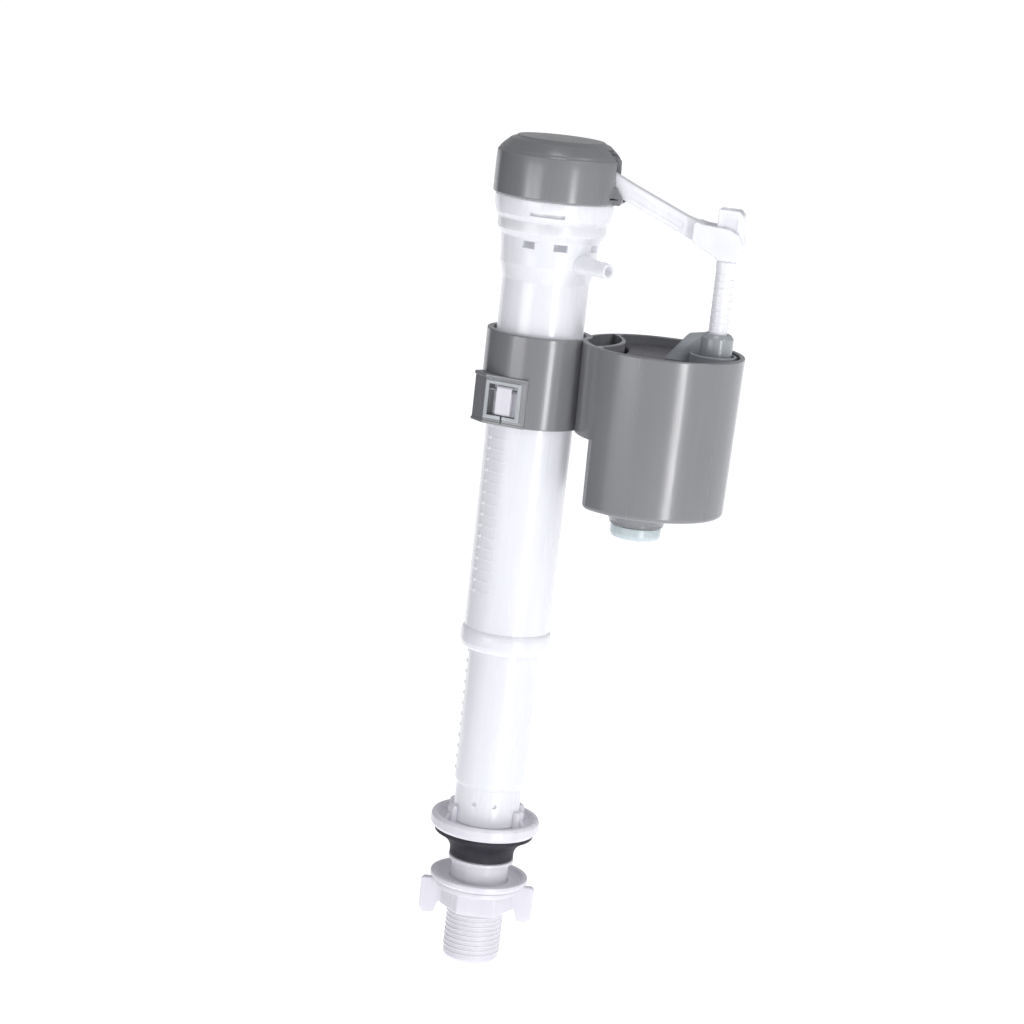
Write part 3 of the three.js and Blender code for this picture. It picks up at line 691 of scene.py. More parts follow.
lower = turned("lower_tube_wall", [
    (LOWER_BORE_R, LOWER_TOP_Z), (LOWER_R - 0.4, LOWER_TOP_Z), (LOWER_R, LOWER_TOP_Z - 1.2),
    (LOWER_R, NECK_TOP_Z + 1.6), (NECK_R, NECK_TOP_Z), (NECK_R, 3.4), (NECK_R - 1.3, 3.4),
    (NECK_R - 1.3, NECK_TOP_Z), (LOWER_BORE_R, NECK_TOP_Z + 1.6),
], 0.4)
settle(lower)
for angle in (-102, -66):
    mark = drum("mark", 0.95, 11, 16, steps=SMALL_STEPS)
    settle(mark, turn_z(angle) @ shift(z=11.7) @ ALONG_X)
    cut(lower, mark)
place(smooth(lower), "base", "milky_plastic", "lower_tube")
lower_teeth = tooth_column("lower_tube_teeth", LOWER_R, 0.4, -169, 7, 22, 25, 1.6)
place(lower_teeth, "base", "milky_plastic")
print("lower tube up to", round(LOWER_TOP_Z, 1), "mm")

# %% [markdown]
# ## The riser and its locking ring
# The riser flares at the top into the valve's head in three soft steps. Water for the bowl
# leaves through a nozzle, and water for the cistern through a row of small windows. The windows
# and the long slot are cut from the turned wall with boxes.

# %% Riser
RISER_R, RISER_BORE_R = 15.4, 13.9
HEAD_R = 20.9
HEAD_TOP_Z = 231.3
HEAD_BORE_R = 18.7
CAP_SEAT_R = 20.0
CAP_SEAT_TOP_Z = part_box("riser_tube")[1].z / MM
RISER_FOOT_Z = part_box("riser_tube")[0].z / MM
WINDOW_ANGLES = (-105, -66, -15, 30, 75, 120, 165)

riser = turned("riser_wall", [
    (HEAD_BORE_R, CAP_SEAT_TOP_Z), (CAP_SEAT_R, CAP_SEAT_TOP_Z), (CAP_SEAT_R, HEAD_TOP_Z),
    (HEAD_R, HEAD_TOP_Z), (HEAD_R, 229.0), (20.6, 227.0), (20.3, 225.2), (19.3, 223.6),
    (19.15, 219.9), (17.6, 217.6), (17.1, 213.6), (16.9, 208.2), (16.1, 205.2), (RISER_R, 202.4),
    (RISER_R, 76.08), (RISER_R - 0.3, 76.02), (RISER_R - 0.5, 75.7), (RISER_R - 0.5, RISER_FOOT_Z),
    (RISER_BORE_R, RISER_FOOT_Z), (RISER_BORE_R, 203.0), (15.2, 206.0), (15.3, 219.0),
    (HEAD_BORE_R, 221.6),
], 1.0)
settle(riser)
for angle in WINDOW_ANGLES:
    opening = block("window", 13, 22, -2.5, 2.5, 214.3, 216.9)
    cut(riser, settle(opening, turn_z(angle)))

# %% Long slot with its lip
SLOT_ANGLE, SLOT_HALF_ANGLE = -85, 18
slot_ends = [math.radians(SLOT_ANGLE + side * SLOT_HALF_ANGLE) for side in (-1, 1)]
wedge = [(0, 0)] + [(32 * math.cos(a), 32 * math.sin(a)) for a in slot_ends]
cut(riser, prism("slot", wedge, 225.9, 227.3, lying=True))
place(smooth(riser, 26), "riser", "milky_plastic", "riser_tube")
for name, height, angle, half_angle in (("riser_teeth", 0.3, -140, 5),
                                        ("riser_teeth_low", 0.08, -120, 14)):
    teeth = tooth_column(name, RISER_R, height, angle, half_angle, 90, 22, 1.8)
    place(teeth, "riser", "milky_plastic")
print("riser:", len(riser.data.polygons), "faces")

# %% Refill nozzle
NOZZLE_ANGLE, NOZZLE_Z, NOZZLE_TIP = -36, 210.3, 31.0
nozzle = turned("refill_nozzle", [
    (1.8, NOZZLE_TIP), (2.6, NOZZLE_TIP), (2.9, 27.4), (2.65, 26.9), (3.1, 22.0), (3.3, 18.0),
    (3.6, 14.6), (1.8, 14.6),
], 0.35, SMALL_STEPS)
settle(nozzle, turn_z(NOZZLE_ANGLE) @ shift(z=NOZZLE_Z) @ ALONG_X)
place(nozzle, "riser", "milky_plastic")

# %% Locking ring
RING_R = 16.35
ring = turned("locking_ring", [
    (RISER_R - 0.2, 75.98), (RISER_R + 0.02, 75.98), (RING_R - 0.4, 75.2), (RING_R - 0.1, 74.2),
    (RING_R, 73.0), (RING_R, 70.8), (RING_R - 0.35, 69.2), (RING_R - 1.2, 68.5),
    (RISER_BORE_R + 0.05, 68.5), (RISER_BORE_R + 0.05, 70.0), (RISER_R - 0.2, 70.0),
], 0.4)
place(ring, "ring", "milky_plastic", "lock_ring")

# %% [markdown]
# ## Inside the riser
# The water's way is a pair of pipes, a seat, a diaphragm with its plunger, and seals. Only
# glimpses of them show through the windows, but each is a real piece, so each is turned
# properly. A table holds their outlines, because they differ in nothing else.

# %% Hidden turned pieces
HIDDEN = [
    ("lower_pipe", "base", "milky_plastic", "lower_supply_pipe", [
        (4.6, 150), (6, 150), (6, 147.6), (5.2, 147.6), (5.2, 145), (6, 145), (6, 2), (4.6, 2)]),
    ("pipe_seal", "base", "black_rubber", "pipe_o_ring", [
        (5.5, 147.3), (6.45, 147.3), (6.45, 145.3), (5.5, 145.3)]),
    ("upper_pipe", "riser", "milky_plastic", "upper_supply_pipe", [
        (6.6, 214), (8.2, 214), (8.2, 66), (6.6, 66)]),
    ("membrane", "riser", "black_rubber", "diaphragm", [
        (4, 222.9), (13, 222.9), (15, 223.3), (18.4, 223.3), (18.4, 222.2), (15.2, 221.9),
        (4, 221.9)]),
    ("plunger", "insert", "milky_plastic", "diaphragm_insert", [
        (0, 225.8), (6.5, 225.8), (6.5, 224.4), (3.6, 224.4), (3.6, 223.4), (1.2, 221.9),
        (0, 221.9)]),
    ("bonnet_seal", "riser", "black_rubber", "bonnet_o_ring", [
        (17.6, 232.3), (18.55, 232.3), (18.55, 230.7), (17.6, 230.7)]),
    ("pilot_pad", "lever_arm", "black_rubber", "pilot_seal", [
        (0, 243), (1.6, 243), (1.6, 241), (2.4, 240.2), (2.4, 239.5), (0, 239.5)]),
]
for name, body, slot, node, outline in HIDDEN:
    place(turned(name, outline, 0.45, SMALL_STEPS), body, slot, node)
print("hidden turned pieces:", len(HIDDEN))

# %% [markdown]
# ## The cap
# The cap is the brightest thing to get right, because its side works like a curved mirror. It
# has a straight side, a crease, a bevelled shoulder, and a slightly raised disc. The lever
# comes out of a slot at the right, over a small beak that keeps it from dropping.

# %% Cap
CAP_R, CAP_WALL = 21.95, 1.5
CAP_FOOT_Z, CAP_TOP_Z = 231.7, 252.5
CAP_INNER_R = CAP_R - CAP_WALL
PEAK = (24.6, 238.0)

cap = turned("cap_shell", [
    (0, CAP_TOP_Z), (8.0, CAP_TOP_Z - 0.05), (15.2, CAP_TOP_Z - 0.35), (16.0, CAP_TOP_Z - 1.0),
    (16.5, CAP_TOP_Z - 1.15), (17.6, CAP_TOP_Z - 1.6), (19.6, 249.1), (20.9, 247.7),
    (21.25, 247.05), (21.75, 246.5), (CAP_R, 243.0), (CAP_R, CAP_FOOT_Z),
    (CAP_INNER_R, CAP_FOOT_Z), (CAP_INNER_R, 243.0), (CAP_INNER_R - 0.5, 246.0),
    (CAP_INNER_R - 2.0, 248.0), (15.4, 249.9), (12.9, 250.9), (0, 251.0),
], 0.7, 128)
settle(cap)
cheek = [(17.5, CAP_FOOT_Z), (PEAK[0] - 0.8, CAP_FOOT_Z), (PEAK[0], 233.2), (PEAK[0], 234.4),
         (22.3, PEAK[1]), (17.5, PEAK[1] + 0.6)]
beak = settle(prism("beak", soften(cheek, 0.8), -5.2, 5.2, 0.5))
cut(beak, drum("beak_room", CAP_INNER_R, 225, 245))
weld(cap, beak)
cut(cap, block("lever_way", 12, 28, -3.8, 3.8, CAP_FOOT_Z + 1.1, 249.0),
    block("lever_gap", 15, 28, -4.7, 0, 240.0, 250.3))
for low, high in both_sides(4.9, 7.5):
    cut(cap, block("beak_groove", 19.8, 23.9, low, high, 233.5, 234.1))
place(smooth(cap, 30), "riser", "grey_plastic", "head_cap")
print("cap:", len(cap.data.polygons), "faces")

# %% [markdown]
# ## The lever
# The lever is one flat moulding. Its arm slopes down from the cap, and its far end is a fork
# that holds the clip between two cheeks. A shallow panel is sunk into each side of the arm, as
# a moulder does to keep a thick wall from shrinking. Each cheek has a blind slot on its inside.

# %% Lever
PIVOT = (12.0, 242.4)
ROD_X = 62.7
TRUNNION_Z = 222.5
LEVER_HALF = 2.75
PANEL_DEPTH = 0.35
FORK_HALF = 6.2
TRUNNION_R, TRUNNION_HALF = 1.8, 5.3
SLOT_HALF = TRUNNION_HALF + 0.3

arm_outline = [
    (-2.6, 241.6), (7, 239.6), (14, 238.3), (27.9, 232.3), (47.6, 224.1), (53, 221.8),
    (53, 229.7), (47.6, 231.1), (27.9, 239.3), (13, 246), (7, 246.6), (-2.6, 246),
]
fork_outline = [
    (50.5, 222.9), (55, 220.7), (59.5, 218.3), (63.5, 217.8), (67, 219.6), (68.2, 223),
    (66.8, 227), (63, 228.8), (54, 229.4), (50.5, 230.3),
]
panel_outline = [(26.0, 235.2), (46.5, 226.4), (46.5, 229.0), (26.0, 238.2)]
lever = settle(prism("lever_arm_moulding", soften(arm_outline, 1.2), -LEVER_HALF, LEVER_HALF, 0.45))
fork = settle(prism("fork", soften(fork_outline, 1.8), -FORK_HALF, FORK_HALF, 0.45))
cut(fork, block("clip_room", 53.8, 72, -4.65, 4.65, 212, 236))
weld(lever, fork)
for low, high in both_sides(LEVER_HALF - PANEL_DEPTH, 4):
    cut(lever, prism("panel", soften(panel_outline, 0.8), low, high))
slope = math.atan2(TRUNNION_Z - PIVOT[1], ROD_X - PIVOT[0])
slot_r, slot_back = 2.2, -3.4
half_turn = [math.pi / 2 + math.pi * i / 16 for i in range(17)]
slot_outline = [(slot_back + slot_r * math.cos(a), slot_r * math.sin(a)) for a in half_turn]
slot_outline += [(0.2 - slot_r * math.cos(a), -slot_r * math.sin(a)) for a in half_turn]
slot_cutter = prism("fork_slot", slot_outline, -SLOT_HALF, SLOT_HALF)
swing = Matrix.Rotation(-slope, 4, "Y")
settle(slot_cutter, shift(ROD_X, 0, TRUNNION_Z) @ swing)
cut(lever, slot_cutter, bar("pivot_hole", 1.8, *PIVOT, -8, 8),
    drum("seal_seat", 1.9, 240, 243.4, steps=SMALL_STEPS))
place(smooth(lever), "lever_arm", "milky_plastic", "lever", finish=dense)
print("lever slopes", round(math.degrees(slope), 1), "degrees")

# %% [markdown]
# ## The clip and the threaded rod
# The clip is a square sleeve whose two trunnions ride in the fork. It lets the rod turn but not
# slide. The rod's coarse thread is a coil on a core, and a screwdriver slot in its head sets
# the water level.

# %% Clip
CLIP_HALF = 4.35
CLIP_FOOT_Z, CLIP_TOP_Z = 217.4, 235.3
clip_outline = [
    (-CLIP_HALF, CLIP_FOOT_Z + 2), (-CLIP_HALF + 1, CLIP_FOOT_Z), (CLIP_HALF - 1, CLIP_FOOT_Z),
    (CLIP_HALF, CLIP_FOOT_Z + 2), (CLIP_HALF, CLIP_TOP_Z - 1.6), (CLIP_HALF - 1.6, CLIP_TOP_Z),
    (-CLIP_HALF, CLIP_TOP_Z),
]
clip = settle(prism("rod_clip_body", clip_outline, -CLIP_HALF, CLIP_HALF, 0.55))
for low, high in both_sides(CLIP_HALF - PANEL_DEPTH, 5):
    cut(clip, block("clip_panel", -2.6, 2.6, low, high, 226.4, 232.6))
weld(clip, bar("trunnion", TRUNNION_R, 0, TRUNNION_Z, -TRUNNION_HALF, TRUNNION_HALF, edge=0.3))
cut(clip, drum("clip_bore", 3.2, CLIP_FOOT_Z - 1, CLIP_TOP_Z + 1, steps=SMALL_STEPS),
    drum("clip_pocket", 3.8, 231.0, CLIP_TOP_Z + 1, steps=SMALL_STEPS))
settle(clip, shift(ROD_X))
place(smooth(clip), "clip", "milky_plastic", "rod_clip", finish=dense)

# %% Rod
ROD_R, ROD_CORE_R = 3.5, 3.3
ROD_PITCH = 2.5
ROD_FOOT_Z = 147.0
rod = turned("rod_core", [
    (0, 234.3), (3.5, 234.3), (3.5, 231.4), (2.9, 231.4), (2.9, 217.1), (ROD_R, 217.1),
    (ROD_R, 214.6), (ROD_CORE_R, 213.8), (ROD_CORE_R, ROD_FOOT_Z + 0.8),
    (ROD_CORE_R - 0.8, ROD_FOOT_Z), (0, ROD_FOOT_Z),
], 0.4, SMALL_STEPS)
settle(rod)
cut(rod, block("driver_slot", -5, 5, -0.5, 0.5, 233.0, 236))
settle(rod, shift(ROD_X))
place(smooth(rod), "rod", "milky_plastic", "adjusting_rod", finish=dense)
ROD_WIRE_R = 0.5
THREAD_FOOT_Z, THREAD_HEAD_Z = ROD_FOOT_Z + 1.4, 214.0
rod_thread = thread("rod_thread", ROD_R - ROD_WIRE_R, ROD_WIRE_R, ROD_PITCH,
                    THREAD_FOOT_Z, THREAD_HEAD_Z, 0.5)
settle(rod_thread, shift(ROD_X))
place(rod_thread, "rod", "milky_plastic", finish=dense)
print("rod thread turns:", round((THREAD_HEAD_Z - THREAD_FOOT_Z) / ROD_PITCH, 1))

# %% [markdown]
# ## The float cup
# The cup is a drafted barrel with a hollow side, so that it clears the riser. Its upper part
# closes round to a collar that grips the riser. All of it is one moulding: the outside is
# welded from a barrel, a collar, a hopper and a latch housing, and then the float's chamber,
# the dry pocket behind the collar, the bore and the latch's window are cut out of it.

# %% Plans and lofts
CUP_X = 44.5
CUP_R, CUP_FOOT_R = 28.7, 27.6
CUP_TOP_Z, CUP_FOOT_Z = 184.0, 127.0
HOPPER_X, HOPPER_FOOT_Z = 42.2, 120.5
CUP_WALL = 1.8
HOLLOW_R, HOLLOW_WALL = 29.0, 1.5
CORNER_R = 6.5
COLLAR_R, COLLAR_BORE_R = 18.7, 16.5
COLLAR_FOOT_Z = 151.5
POCKET_FLOOR_Z = 153.1


def arc(x, y, radius, start, end, pieces):
    """Points along an arc, without its last one."""
    angles = [start + (end - start) * i / pieces for i in range(pieces)]
    return [(x + radius * math.cos(a), y + radius * math.sin(a)) for a in angles]


def cup_plan(radius, hollow, corner):
    """A circle about the cup's axis with a hollow side about the riser's axis."""
    reach, inset = hollow + corner, radius - corner
    x = (reach ** 2 - inset ** 2 + CUP_X ** 2) / (2 * CUP_X)
    y = math.sqrt(reach ** 2 - x ** 2)
    on_cup, on_hollow = math.atan2(y, x - CUP_X), math.atan2(y, x)
    return (
        arc(CUP_X, 0, radius, -on_cup, on_cup, 72)
        + arc(x, y, corner, on_cup, on_hollow + math.pi, 12)
        + arc(0, 0, hollow, on_hollow, -on_hollow, 30)
        + arc(x, -y, corner, math.pi - on_hollow, 2 * math.pi - on_cup, 12)
    )


def loft(name, levels):
    """A closed solid through plans of equal length; levels is a list of (height, plan)."""
    count = len(levels[0][1])
    points = [Vector((x, y, z)) * MM for z, plan in levels for x, y in plan]
    top = (len(levels) - 1) * count
    faces = [tuple(reversed(range(count))), tuple(range(top, top + count))]
    for level in range(len(levels) - 1):
        low, high = level * count, (level + 1) * count
        for i in range(count):
            j = (i + 1) % count
            faces.append((low + i, low + j, high + j, high + i))
    return new_piece(name, points, faces)


def cup_levels(radius_foot, radius_top, hollow, corner, foot, top, round_foot, flare=0.0):
    """Levels of a drafted cup shape whose foot is rounded and whose mouth may flare."""
    levels = []
    for step in range(7):
        turn = math.pi / 2 * step / 6
        shrink = round_foot * (1 - math.sin(turn))
        plan = cup_plan(radius_foot - shrink, hollow + shrink, max(1.2, corner - 0.6 * shrink))
        levels.append((foot + round_foot * (1 - math.cos(turn)), plan))
    levels.append((top - abs(flare), cup_plan(radius_top, hollow, corner)))
    levels.append((top, cup_plan(radius_top + flare, hollow - flare, corner + 0.6 * flare)))
    return levels


# %% Cup outside
RIM_ROUND = 0.45
lower_cup = loft("float_cup_shell", cup_levels(
    CUP_FOOT_R, CUP_R, HOLLOW_R, CORNER_R, CUP_FOOT_Z, CUP_TOP_Z, 1.7, -RIM_ROUND))
shoulder_foot_r = CUP_FOOT_R + (CUP_R - CUP_FOOT_R) * 0.42
shoulder = settle(turned("shoulder", [
    (0, CUP_TOP_Z), (CUP_R - 0.03, CUP_TOP_Z), (shoulder_foot_r - 0.03, COLLAR_FOOT_Z),
    (0, COLLAR_FOOT_Z),
], RIM_ROUND), shift(CUP_X))
hopper = settle(turned("hopper", [
    (0, 130), (16.6, 130), (16.2, 127.2), (14.2, 126.6), (12.0, 124.9), (10.5, 122.6),
    (9.8, 121.6), (9.7, HOPPER_FOOT_Z), (0, HOPPER_FOOT_Z),
], 1.1), shift(HOPPER_X))
keep_common(hopper, loft("hopper_room", [
    (height, cup_plan(CUP_FOOT_R - 0.6, HOLLOW_R + 0.6, CORNER_R - 0.4)) for height in (118, 131)]))
collar = drum("collar", COLLAR_R, COLLAR_FOOT_Z, CUP_TOP_Z, edge=0.5)

# %% [markdown]
# The latch housing stands off the collar like half a box. Its face carries the window and a
# raised frame, its left side slopes back to the riser, and a thin shelf caps it. The plan is
# drawn with the face square to X and then turned round to its place.

# %% Latch housing
LATCH_TURN = turn_z(-100)
LATCH_FACE = 18.9
HOUSING_TOP_Z = 169.0


def housing_plan(spread):
    return [(12, 5.4), (17.4, 5.4), (LATCH_FACE + spread, 4.7),
            (LATCH_FACE + spread, -10.8 - 0.3 * spread), (14.8 + spread, -16.6 - spread),
            (12.2, -15.4)]


housing = prism("housing", housing_plan(0), COLLAR_FOOT_Z, HOUSING_TOP_Z - 0.4, 0.35, True)
shelf = prism("shelf", housing_plan(0.35), HOUSING_TOP_Z - 1.3, HOUSING_TOP_Z, 0.35, True)
sill = prism("sill", housing_plan(0.25), COLLAR_FOOT_Z, COLLAR_FOOT_Z + 1.1, 0.3, True)
housing = settle(weld(housing, shelf, sill), LATCH_TURN)
cup = weld(lower_cup, shoulder, hopper, collar, housing)
print("cup outside:", len(cup.data.polygons), "faces")

# %% Cup inside
chamber = loft("chamber", cup_levels(
    CUP_FOOT_R - CUP_WALL, CUP_R - CUP_WALL, HOLLOW_R + HOLLOW_WALL, CORNER_R - 1.5,
    CUP_FOOT_Z + CUP_WALL, CUP_TOP_Z + 0.3, 1.4, 0.6))
pocket = settle(turned("pocket", [
    (0, CUP_TOP_Z + 2), (CUP_R - CUP_WALL, CUP_TOP_Z + 2),
    (shoulder_foot_r - CUP_WALL, POCKET_FLOOR_Z), (0, POCKET_FLOOR_Z),
], 0.01), shift(CUP_X))
pocket_ring = turned("pocket_ring", [
    (COLLAR_R, CUP_TOP_Z + 4), (HOLLOW_R, CUP_TOP_Z + 4), (HOLLOW_R, POCKET_FLOOR_Z - 2),
    (COLLAR_R, POCKET_FLOOR_Z - 2),
], 0.01)
keep_common(pocket, pocket_ring)
funnel = settle(turned("funnel", [
    (0, 131), (11.8, 131), (11.8, 127.4), (10, 125.4), (8.5, 123.2), (8.3, 122), (0, 122),
], 0.5), shift(HOPPER_X))
cut(cup, chamber, pocket, funnel)
cut(cup, drum("cup_bore", COLLAR_BORE_R, COLLAR_FOOT_Z - 1, CUP_TOP_Z + 1))
cut(cup, drum("stem_hole", 2.1, 119, 123, HOPPER_X, steps=SMALL_STEPS))
for number in range(6):
    a = math.radians(60 * number)
    x, y = HOPPER_X + 5.4 * math.cos(a), 5.4 * math.sin(a)
    cut(cup, drum("drain_hole", 1.7, 119, 123, x, y, steps=24))
LATCH_PIN = (17.75, 163.9)
LATCH_Y = -3.7
WINDOW = (-9.3, 1.5, 154.8, 165.9)
SLIT = (LATCH_Y - 0.4, LATCH_Y + 0.4)
window = block("latch_window", 13, 26, *WINDOW)
slit = block("latch_slit", 13, 26, *SLIT, COLLAR_FOOT_Z - 1, 156)
pin_hole = bar("pin_hole", 0.8, *LATCH_PIN, LATCH_Y - 6.8, LATCH_Y + 6.8)
cut(cup, *(settle(tool, LATCH_TURN) for tool in (window, slit, pin_hole)))
place(smooth(cup, 28), "cup", "grey_plastic", "float_cup")
print("cup:", len(cup.data.polygons), "faces")

# %% Frame round the latch's window
window_frame = block("window_frame", LATCH_FACE - 1.2, LATCH_FACE + 0.5, -10.7, 2.9, 153.5, 167.2, 0.4)
cut(window_frame, block("frame_window", 15, 22, *WINDOW), block("frame_slit", 15, 22, *SLIT, 152, 156))
# The frame takes the lighter grey, which is painted light.
place(smooth(settle(window_frame, LATCH_TURN)), "cup", "grey_plastic", finish=painted_light_grey)

# %% Guide ribs in the collar
GUIDE_ANGLES = (-60, -5, 50, 110, 170)
for number, angle in enumerate(GUIDE_ANGLES):
    rib = prism(f"collar_rib_{number + 1}", [(15.75, 153), (17, 152), (17, 181), (15.75, 179)],
                -0.9, 0.9, 0.2)
    settle(rib, turn_z(angle))
    place(smooth(rib), "cup", "grey_plastic")
print("collar ribs:", len(GUIDE_ANGLES))

# %% Latch and its pin
latch_side = [
    (16.35, 155.6), (16.9, 155.2), (18.7, 155.2), (19.2, 156.0), (19.25, 160.5), (19.2, 164.9),
    (18.6, 165.5), (16.5, 165.5), (16.35, 162.0), (16.9, 161.2), (16.9, 160.6), (16.35, 159.6),
    (16.9, 158.6), (16.9, 156.6),
]
latch = settle(prism("latch_tongue", latch_side, LATCH_Y - 2.7, LATCH_Y + 2.9, 0.2))
cut(latch, bar("latch_hole", 0.8, *LATCH_PIN, LATCH_Y - 4, LATCH_Y + 4))
place(smooth(settle(latch, LATCH_TURN)), "latch", "milky_plastic", "rack_latch", finish=lilac)
latch_pin = bar("latch_axle", 0.6, *LATCH_PIN, LATCH_Y - 6.5, LATCH_Y + 6.5, edge=0.15)
place(smooth(settle(latch_pin, LATCH_TURN)), "cup", "grey_plastic", "latch_pin")

# %% [markdown]
# ## The float
# The float is an upturned box: a top and a skirt with air below. A gusset on its top rises to
# the boss that the rod screws into, and a low round foot stands in front of the boss.

# %% Float
FLOAT_TOP_Z, FLOAT_FOOT_Z = 181.0, 133.0
FLOAT_PLAY = 1.1
FLOAT_WALL = 1.4
float_r = CUP_R - CUP_WALL - FLOAT_PLAY
float_hollow = HOLLOW_R + HOLLOW_WALL + FLOAT_PLAY
BOSS_R, BOSS_TOP_Z = 5.8, 191.8


def float_levels(shrink, foot, top, rim):
    """Levels of the float, or of the air inside it, with a rounded top rim."""
    levels = [
        (foot, float_r - 1.0 - shrink, shrink),
        (top - 1.2, float_r - shrink, shrink),
        (top - 0.4, float_r - 0.25 * rim - shrink, shrink + 0.25 * rim),
        (top, float_r - rim - shrink, shrink + rim),
    ]
    return [(z, cup_plan(r, float_hollow + s, CORNER_R - 2 - 0.6 * s)) for z, r, s in levels]


float_body = loft("float_shell", float_levels(0, FLOAT_FOOT_Z, FLOAT_TOP_Z, 1.0))
air = loft("air", float_levels(FLOAT_WALL, FLOAT_FOOT_Z - 1, FLOAT_TOP_Z - 1.6, 1.0))
cut(float_body, air)
gusset_side = [(45.5, 180), (45.5, 181.2), (52.6, 190.4), (58, 191.4), (66, 191.4), (66, 180)]
gusset = settle(prism("gusset", soften(gusset_side, 1.2), -2.8, 2.8, 0.5))
keeper = settle(turned("keeper", [(0, 200), (float_r, 200), (float_r, 170), (0, 170)], 0.01),
                shift(CUP_X))
foot = drum("foot", 8.4, 180, 184.4, ROD_X - 0.6, -1, edge=0.5)
cut(foot, drum("foot_dish", 7.5, 182.2, 186, ROD_X - 0.6, -1))
weld(gusset, foot)
keep_common(gusset, keeper)
boss = settle(turned("float_boss", [
    (0, BOSS_TOP_Z), (4.6, BOSS_TOP_Z), (BOSS_R, 190.4), (BOSS_R, 168), (0, 168),
], 0.9, SMALL_STEPS), shift(ROD_X))
weld(boss, gusset)
cut(float_body, drum("rod_hole", ROD_R + 0.3, 160, 200, ROD_X, steps=SMALL_STEPS))
cut(boss, drum("boss_bore", ROD_R + 0.3, 160, 200, ROD_X, steps=SMALL_STEPS))
# The float takes the darker grey, which is painted shade.
place(smooth(float_body), "float_body", "grey_plastic", "float", finish=float_painted_shade_grey)
# The boss and gusset take the lighter grey, which is painted light.
place(smooth(boss), "float_body", "grey_plastic", finish=painted_light_grey)
print("float:", len(float_body.data.polygons), "faces")

# %% [markdown]
# ## The drain plug
# A loose plug hangs under the hopper. Its own weight drops it a little to let the cup drain, and
# the rising water closes it. A pale washer lies in a groove behind its rim.

# %% Drain plug
plug = turned("drain_plug_disc", [
    (0, 125.7), (1.5, 125.7), (3, 123.7), (1.7, 123.5), (1.7, 119.5), (8.2, 119.5), (8.2, 120.2),
    (9.0, 120.2), (9.0, 117.4), (8.6, 116.1), (7.4, 115.5), (0, 115.5),
], 0.5, 64)
place(settle(plug, shift(HOPPER_X)), "drain", "milky_plastic", "drain_plug", finish=ice)
seal = turned("drain_washer", [(4, 120.35), (7.9, 120.35), (7.9, 119.65), (4, 119.65)], 0.2, 64)
place(settle(seal, shift(HOPPER_X)), "drain", "clear_silicone", "drain_seal")

# %% [markdown]
# ## The pieces that keep their working shape
# The strainer, the restrictor, the seat, the bonnet and the pivot pin are drilled or slotted
# mouldings deep inside. Their shapes are right already, so they only get their finish.

# %% Finishes for carried-over pieces
for node, piece in frame["nodes"].items():
    if piece.hide_render:
        continue
    slot = next(e["material_slot"] for e in frame["record"]["subparts"] if e["node"] == node)
    piece.data.materials.clear()
    piece.data.materials.append(FINISHES[slot])
    print("kept:", node, "in", slot)

# %% [markdown]
# ## Light and floor
# Grey plastic shows its roundness through what it mirrors. A tall narrow strip to the right of
# the camera draws the long highlights. A wide band at the left hangs just high enough for the
# cap alone to mirror it. A dark card beyond it, which the camera itself can't see, gives the
# left sides their dark border. A soft key from the upper right does the modelling, and a small
# light overhead lifts the tops a little.

# %% Lights
def strip_light(name, azimuth, distance, width, height, watts, z=0.11, tilt=0.0):
    """An upright area light, its azimuth measured from the camera's, to the right if positive."""
    direction = look_back(CAMERA_AZIMUTH + azimuth, tilt)
    data = bpy.data.lights.new(name, "AREA")
    data.shape = "RECTANGLE"
    data.size, data.size_y = width, height
    data.energy = watts
    light = bpy.data.objects.new(name, data)
    light.location = Vector((0.02, 0, z)) + direction * distance
    light.rotation_euler = direction.to_track_quat("Z", "Y").to_euler()
    bpy.context.scene.collection.objects.link(light)
    return light


strip_light("main strip", 30, 1.0, 0.17, 0.5, 3.3, z=-0.1)
strip_light("left band", -44, 1.05, 0.56, 0.16, 1.5, z=0.085)
strip_light("soft key", 46, 1.2, 0.8, 0.6, 4.2, z=0.15, tilt=36)
strip_light("top light", -12, 1.2, 0.4, 0.26, 1.3, z=0.2, tilt=76)

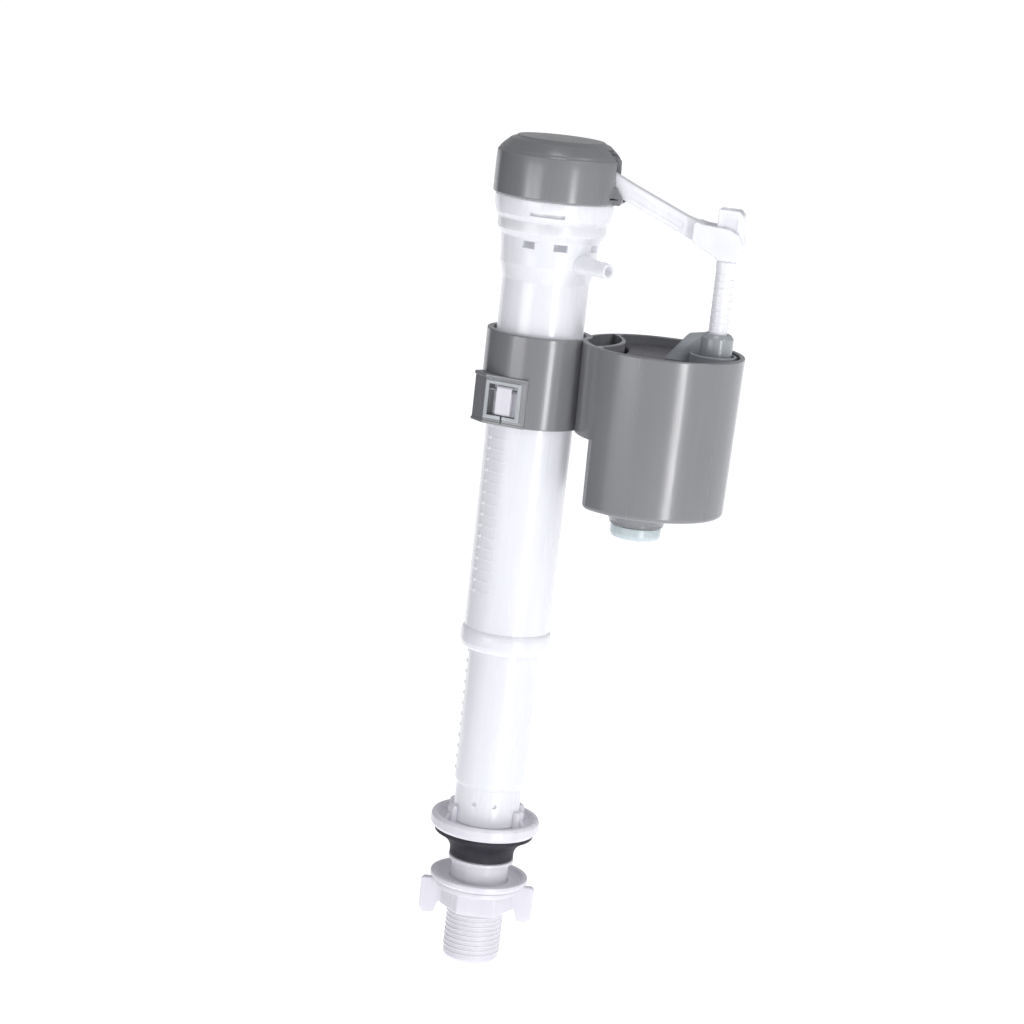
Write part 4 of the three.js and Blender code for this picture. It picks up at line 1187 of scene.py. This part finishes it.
# %% [markdown]
# The surroundings should look white and yet not flood the pale tubes, or their shape drowns. So
# the world has two strengths: a full one for what the camera sees behind the valve, and a lower
# one for the light that falls on it. A `Light Path` node tells them apart.

# %% World
SEEN_WHITE, CAST_WHITE = 1.05, 0.4
world = bpy.data.worlds.new("studio")
bpy.context.scene.world = world
world.use_nodes = True
world_tree = world.node_tree
background = world_tree.nodes["Background"]
background.inputs["Color"].default_value = (0.975, 0.98, 1.0, 1)
by_ray = world_tree.nodes.new("ShaderNodeMapRange")
by_ray.inputs["To Min"].default_value = CAST_WHITE
by_ray.inputs["To Max"].default_value = SEEN_WHITE
ray = world_tree.nodes.new("ShaderNodeLightPath")
world_tree.links.new(ray.outputs["Is Camera Ray"], by_ray.inputs["Value"])
world_tree.links.new(by_ray.outputs["Result"], background.inputs["Strength"])
bpy.context.scene.view_settings.view_transform = "Standard"


# %% Floor and card
def flat_finish(name, color, glow=0.0):
    material = bpy.data.materials.new(name)
    material.use_nodes = True
    shader = material.node_tree.nodes["Principled BSDF"]
    set_inputs(shader, {"Base Color": (*color, 1), "Roughness": 0.9,
                        "Emission Color": (*color, 1), "Emission Strength": glow})
    return material


def card(name, width, height, matrix, material):
    half_w, half_h = width / 2, height / 2
    corners = [(-half_w, -half_h, 0), (half_w, -half_h, 0), (half_w, half_h, 0), (-half_w, half_h, 0)]
    piece = new_piece(name, corners, [(0, 1, 2, 3)])
    piece.data.transform(matrix)
    piece.data.materials.append(material)
    return piece


FLOOR_Z = -0.34
floor = card("floor", 14, 14, Matrix.Translation((0, 0, FLOOR_Z)),
             flat_finish("pale floor", (0.93, 0.935, 0.95), 0.78))
CARD_DISTANCE = 0.5
card_way = look_back(CAMERA_AZIMUTH - 100, 0)
stand = Matrix.Translation(Vector((0, 0, 0.08)) + card_way * CARD_DISTANCE)
facing = card_way.to_track_quat("Z", "Y").to_matrix().to_4x4()
dark_card = card("dark card", 0.7, 0.36, stand @ facing,
                 flat_finish("black card", (0.02, 0.02, 0.022)))
dark_card.visible_camera = False
